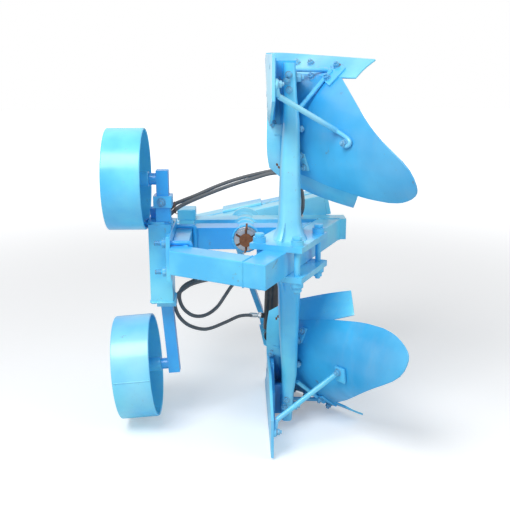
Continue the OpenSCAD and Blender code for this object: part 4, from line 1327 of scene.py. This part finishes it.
@dataclass
class WheelFittings:
    """What holds one gauge wheel on its stub axle, and the welds of its disc.

    Attributes:
        hub: Where the axle starts, in millimetres about the turnover axis.
        lean: How far the axle leans, in degrees.
        radius: The radius of the disc.
        width: The width of the tread.
        gap: How far the tread is from the axle's start.
        seam: Where the seam of the tread is, in radians.
    """

    paints: Paints
    side: Side
    hub: Point
    lean: float
    radius: float
    width: float
    gap: float
    seam: float
    bolt_circle: float = 0.055
    bolts: int = 5
    disc_inset: float = 0.034
    flange_height: float = 0.008
    tread_wall: float = 0.0075

    def build(self) -> None:
        """Make the hub's flange and nuts, the axle nut and the welds of disc and tread."""
        name = self.side.stem
        wheel = name + "_wheel_body"
        out = Matrix.Rotation(math.radians(-self.lean), 3, "Y") @ Vector((-1.0, 0.0, 0.0))
        centre = at(*self.hub)
        far = self.gap + self.width
        disc = centre + out * (far - self.disc_inset)
        flange = turned(HUB_FLANGE, disc, -out, 48)
        hand_over(flange, name + "_hub_flange", wheel, "blue_paint", self.paints)
        circle = ring_of(disc - out * self.flange_height, out, self.bolt_circle, self.bolts)
        hub_nut = Fastener(across=0.019, height=0.010, tail=0.005, washer=0.002)
        hub_nut.put([(spot, -out) for spot in circle], name + "_hub_nuts", wheel, "blue_paint", self.paints)
        axle_nut = Fastener(across=0.041, height=0.018, tail=0.010, washer=0.004)
        axle_nut.put([(centre + out * (far - 0.005), out)], name + "_axle_nut", name + "_arm_body",
                     "bright_steel", self.paints)
        weld = Weld(self.paints)
        rings = [ring_of(disc + out * lift, out, self.radius, 96) for lift in (-0.001, 0.009)]
        weld.lay(name + "_disc_weld", wheel, [ring + ring[:1] for ring in rings], 0.004)
        tread = self.radius + self.tread_wall
        spoke = Vector((0.0, -math.cos(self.seam), -math.sin(self.seam))) * tread
        seam = [centre + out * reach + spoke for reach in (self.gap + 0.002, far - 0.002)]
        weld.lay(name + "_tread_seam", wheel, [seam], 0.003)


def crossing(p: Vector, u: Vector, q: Vector, v: Vector) -> Vector:
    """Find where the line through p along u meets the line through q along v, in plan."""
    return p + u * ((q - p).cross(v) / u.cross(v))


@dataclass
class FrameFittings:
    """Clamp bolts of the feet, the castle nut's pin, the ends of the U-bolts and the frame's welds.

    Places are in millimetres about the turnover axis, and angles in degrees from the Y axis.
    """

    paints: Paints
    corner: tuple[float, float] = (66.0, -619.0)
    main_angle: float = 24.9
    rear_angle: float = 31.6
    foot: tuple[float, float] = (178.0, -268.0)
    foot_bolt: tuple[float, float] = (126.5, 81.0)
    foot_top: float = 94.0
    half: float = 50.0
    rear_cross: tuple[float, float] = (28.5, 128.5)
    front_cross: tuple[float, float] = (207.5, 307.5)
    side_beam: tuple[float, float] = (-310.0, -240.0)
    sleeve_foot: float = -220.0
    sleeve_outline: Pairs = ((-409, -218), (-315, -218), (-315, -88), (-409, -88), (-409, -218))
    u_bolt_y: tuple[float, float] = (-300.0, 16.0)
    u_bolt_z: float = 61.0
    pin: tuple[Point, ...] = (
        (0, -1.5, -48), (0, -1.5, 0), (0, -2.5, 30), (1, -5, 48), (3, -9, 62), (4, -10, 77))
    pin_tail: tuple[Point, ...] = ((-2, -1.5, -44), (-3, -3, -52), (-7, -9, -58))
    nut_slots: int = 6

    def build(self) -> None:
        """Make the clamp bolts, the beads, the pin of the castle nut and the ends of the U-bolts."""
        self._clamp_feet()
        self._weld_frame()
        self._pin_castle_nut()
        self._end_u_bolts()

    def _pin_castle_nut(self) -> None:
        """Drive the pin through the castle nut, its head up, and lay dark rusty strips on the floors of the
        nut's slots: rust, and painted shade in the slots.
        """
        shank = bent_rod([at(*spot) for spot in self.pin], 0.0042)
        eye = bent_rod(ring_of(at(3.2, -8.5, 60), Vector((1.0, 0.1, 0.0)), 0.007, 10), 0.0038, closed=True)
        tail = bent_rod([at(*spot) for spot in self.pin_tail], 0.0034)
        parts = join([shank, eye, tail])
        pin = hand_over(parts, "castle_nut_pin", "headstock", "rusty_steel", self.paints)
        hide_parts("split_pin")
        # Dark rusty strips on the slot floors: rust, and painted shade that darkens the slots.
        slot_shade_strips = []
        for k in range(self.nut_slots):
            turn = math.tau * (k + 0.5) / self.nut_slots
            strip = plate_block((0.0305, -0.0048, 0.0), (0.0515, 0.0048, 0.0016), 0.0004)
            strip.matrix_world = (Matrix.Translation(at(0, 3.85, 0)) @ Matrix.Rotation(-turn, 4, "Y")
                                  @ Matrix.Rotation(math.pi / 2, 4, "X"))
            bpy.context.view_layer.update()
            settle(strip)
            slot_shade_strips.append(strip)
        hand_over(join(slot_shade_strips), "castle_nut_slot_rust", "headstock", "rusty_steel", self.paints)

    def _end_u_bolts(self) -> None:
        """Cut the rusty threads of the U-bolts, and put on their nuts and the clamp ring's bolt."""
        ends = [(y, self.u_bolt_z * sign) for y in self.u_bolt_y for sign in (-1, 1)]
        threads = [turned(U_BOLT_THREAD, at(-376.6, y, z), RIGHT, 24) for y, z in ends]
        hand_over(join(threads), "u_bolt_threads", "frame", "rusty_steel", self.paints)
        nut = Fastener(across=0.0345, height=0.0150, tail=0.0, washer=0.003)
        seats = [(at(-328, y, z), -RIGHT) for y, z in ends]
        nut.put(seats, "u_bolt_nuts", "frame", "nut_paint", self.paints)
        bolt = Fastener(across=0.027, height=0.0125, tail=0.005)
        bolt.put([(at(-350, -224, 215), Vector((0.0, -1.0, 0.0)))], "clamp_ring_bolt", "frame", "nut_paint",
                 self.paints)

    def _directions(self) -> tuple[Vector, Vector, Vector, Vector]:
        """Give the plan directions along and across the main beam and the rear beam."""
        m, r = math.radians(self.main_angle), math.radians(self.rear_angle)
        return (Vector((math.sin(m), math.cos(m))), Vector((-math.cos(m), math.sin(m))),
                Vector((-math.cos(r), math.sin(r))), Vector((math.sin(r), math.cos(r))))

    def _clamp_feet(self) -> None:
        """Put the four long bolts through both feet, beside the main beam."""
        along, across = self._directions()[:2]
        shanks, heads, nuts = [], [], []
        for a in (-1, 1):
            for b in (-1, 1):
                step = along * (a * self.foot_bolt[0]) + across * (b * self.foot_bolt[1])
                place = Vector(self.foot) + step
                top, low = (at(place.x, place.y, z) for z in (self.foot_top, -self.foot_top))
                shanks.append(turned(CLAMP_SHANK, low, UP, 28))
                heads.append((top, UP))
                nuts.append((low, DOWN))
        shank = hand_over(join(shanks), "clamp_bolt_shanks", "frame", "blue_paint", self.paints)
        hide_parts("foot_bolts")
        head = Fastener(across=0.036, height=0.014, tail=0.0, washer=0.003)
        head.put(heads, "clamp_bolt_heads", "frame", "blue_paint", self.paints)
        nut = Fastener(across=0.036, height=0.019, tail=0.010, washer=0.003)
        nut.put(nuts, "clamp_bolt_nuts", "frame", "blue_paint", self.paints)

    def _seam(self, p: Vector, q: Vector) -> list[list[Vector]]:
        """Give the beads of a seam that runs from p to q in plan: over, under, and down both ends."""
        h = self.half
        return [[at(p.x, p.y, h), at(q.x, q.y, h)], [at(p.x, p.y, -h), at(q.x, q.y, -h)],
                [at(p.x, p.y, -h), at(p.x, p.y, h)], [at(q.x, q.y, -h), at(q.x, q.y, h)]]

    def _weld_frame(self) -> None:
        """Lay the beads of the tubes, the hub sleeve and the wheel post."""
        along, across, rear, ahead = self._directions()
        right = Vector(self.corner)
        left = right + across * 2 * self.half
        front = right + ahead * 2 * self.half
        level = Vector((1.0, 0.0))

        def passing(edge: Vector, y: float) -> Vector:
            """Find where an edge of the main beam passes y."""
            return crossing(edge, along, Vector((0.0, y)), level)

        near, far = self.rear_cross
        face = self.front_cross[0]
        outer, inner = self.side_beam
        seams = [(crossing(left, along, right, rear), crossing(left, along, front, rear)),
                 (passing(left, near), passing(left, far)),
                 (passing(left, face), passing(right, face)),
                 (Vector((inner, near)), Vector((inner, far))),
                 (Vector((outer, face)), Vector((inner, face))),
                 [crossing(Vector((x, 0.0)), Vector((0.0, 1.0)), front, rear) for x in (outer, inner)]]
        weld = Weld(self.paints)
        weld.lay("frame_welds", "frame", [bead for pair in seams for bead in self._seam(*pair)], 0.0038)
        rings = []
        for y in (*self.rear_cross, *self.front_cross):
            ring = ring_of(at(0.0, y, 0.0), AHEAD, 0.0595, 64)
            rings.append(ring + ring[:1])
        rings.append([at(x, y, self.sleeve_foot) for x, y in self.sleeve_outline])
        disc = ring_of(at(-372, -153, 121), UP, 0.060, 48)
        rings.append([spot for spot in disc if spot.x < at(-316, 0, 0).x])
        weld.lay("hub_and_post_welds", "frame", rings, 0.0055)


@dataclass
class Ironwork:
    """The plough's solids, each with rounded edges and its own finish."""

    paints: Paints
    frame: dict
    tubes: tuple[str, ...] = ("head_rear_beam", "head_front_beam", "cross_beam_front", "cross_beam_rear",
                              "main_beam", "rear_beam", "side_beam")
    bars: tuple[str, ...] = ("mast_bar_left", "mast_bar_right", "upper_arm", "lower_arm", "clamp_ring",
                             "guide_tube", "post_sleeve", "upper_wheel", "lower_wheel", "stop_box")
    small: tuple[str, ...] = ("castle_nut", "u_bolts", "base_pin", "thrust_washer")
    sheets: tuple[str, ...] = ("mouldboard", "shin", "share")

    def dress(self) -> None:
        """Round and paint every solid."""
        slots = {row["node"]: row["material_slot"] for row in self.frame["record"]["subparts"]}
        for name, piece in self.frame["nodes"].items():
            self.paints.wear(piece, OWN_FINISH.get(name, slots[name]))
            self._round(piece, self._kind(name))

    def _kind(self, name: str) -> Rounding:
        """Choose how a solid's edges are rounded."""
        kinds = {Rounding.TUBE: self.tubes, Rounding.BAR: self.bars, Rounding.SMALL: self.small}
        for kind, names in kinds.items():
            if name in names:
                return kind
        return Rounding.SHEET if name.startswith(self.sheets) else Rounding.PLATE

    @staticmethod
    def _round(piece: bpy.types.Object, kind: Rounding) -> None:
        """Merge, round and smooth one solid with live modifiers.

        Args:
            piece: The solid's object, whose own mesh stays as it is.
            kind: How its edges are rounded.
        """
        width, facets, angle = kind.value
        activate(piece)
        bpy.ops.mesh.customdata_custom_splitnormals_clear()
        bpy.ops.object.shade_smooth()
        weld = piece.modifiers.new("weld", "WELD")
        weld.merge_threshold = 0.00002
        flat = piece.modifiers.new("flat_faces", "DECIMATE")
        flat.decimate_type = "DISSOLVE"
        flat.angle_limit = math.radians(0.5)
        edge = piece.modifiers.new("round_edges", "BEVEL")
        edge.width = width
        edge.segments = facets
        edge.limit_method = "ANGLE"
        edge.angle_limit = math.radians(angle)
        edge.harden_normals = True
        even = piece.modifiers.new("even_shading", "WEIGHTED_NORMAL")
        even.keep_sharp = True
        piece.select_set(False)


def main() -> None:
    """Give the plough its looks."""
    logging.basicConfig(level=logging.INFO, format="%(name)s: %(message)s")
    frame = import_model()
    cad_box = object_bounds()
    deselect()
    bpy.context.scene.view_settings.view_transform = "Standard"
    studio = Studio()
    studio.add_camera()
    paints = Paints()
    paints.mix_all()
    Hoses(paints).build()
    Ironwork(paints, frame).dress()
    for side in Side:
        BodyFittings(paints, side).build()
    FrameFittings(paints).build()
    WheelFittings(paints, Side.UPPER, hub=(-346, -186, 307), lean=0.0, radius=0.202, width=0.155,
                  gap=0.068, seam=1.9).build()
    WheelFittings(paints, Side.LOWER, hub=(-328, -120, -535), lean=4.4, radius=0.221, width=0.163,
                  gap=0.080, seam=-0.08).build()
    studio.add_light()
    studio.add_floor(cad_box[0][2])


if __name__ == "__main__":
    main()
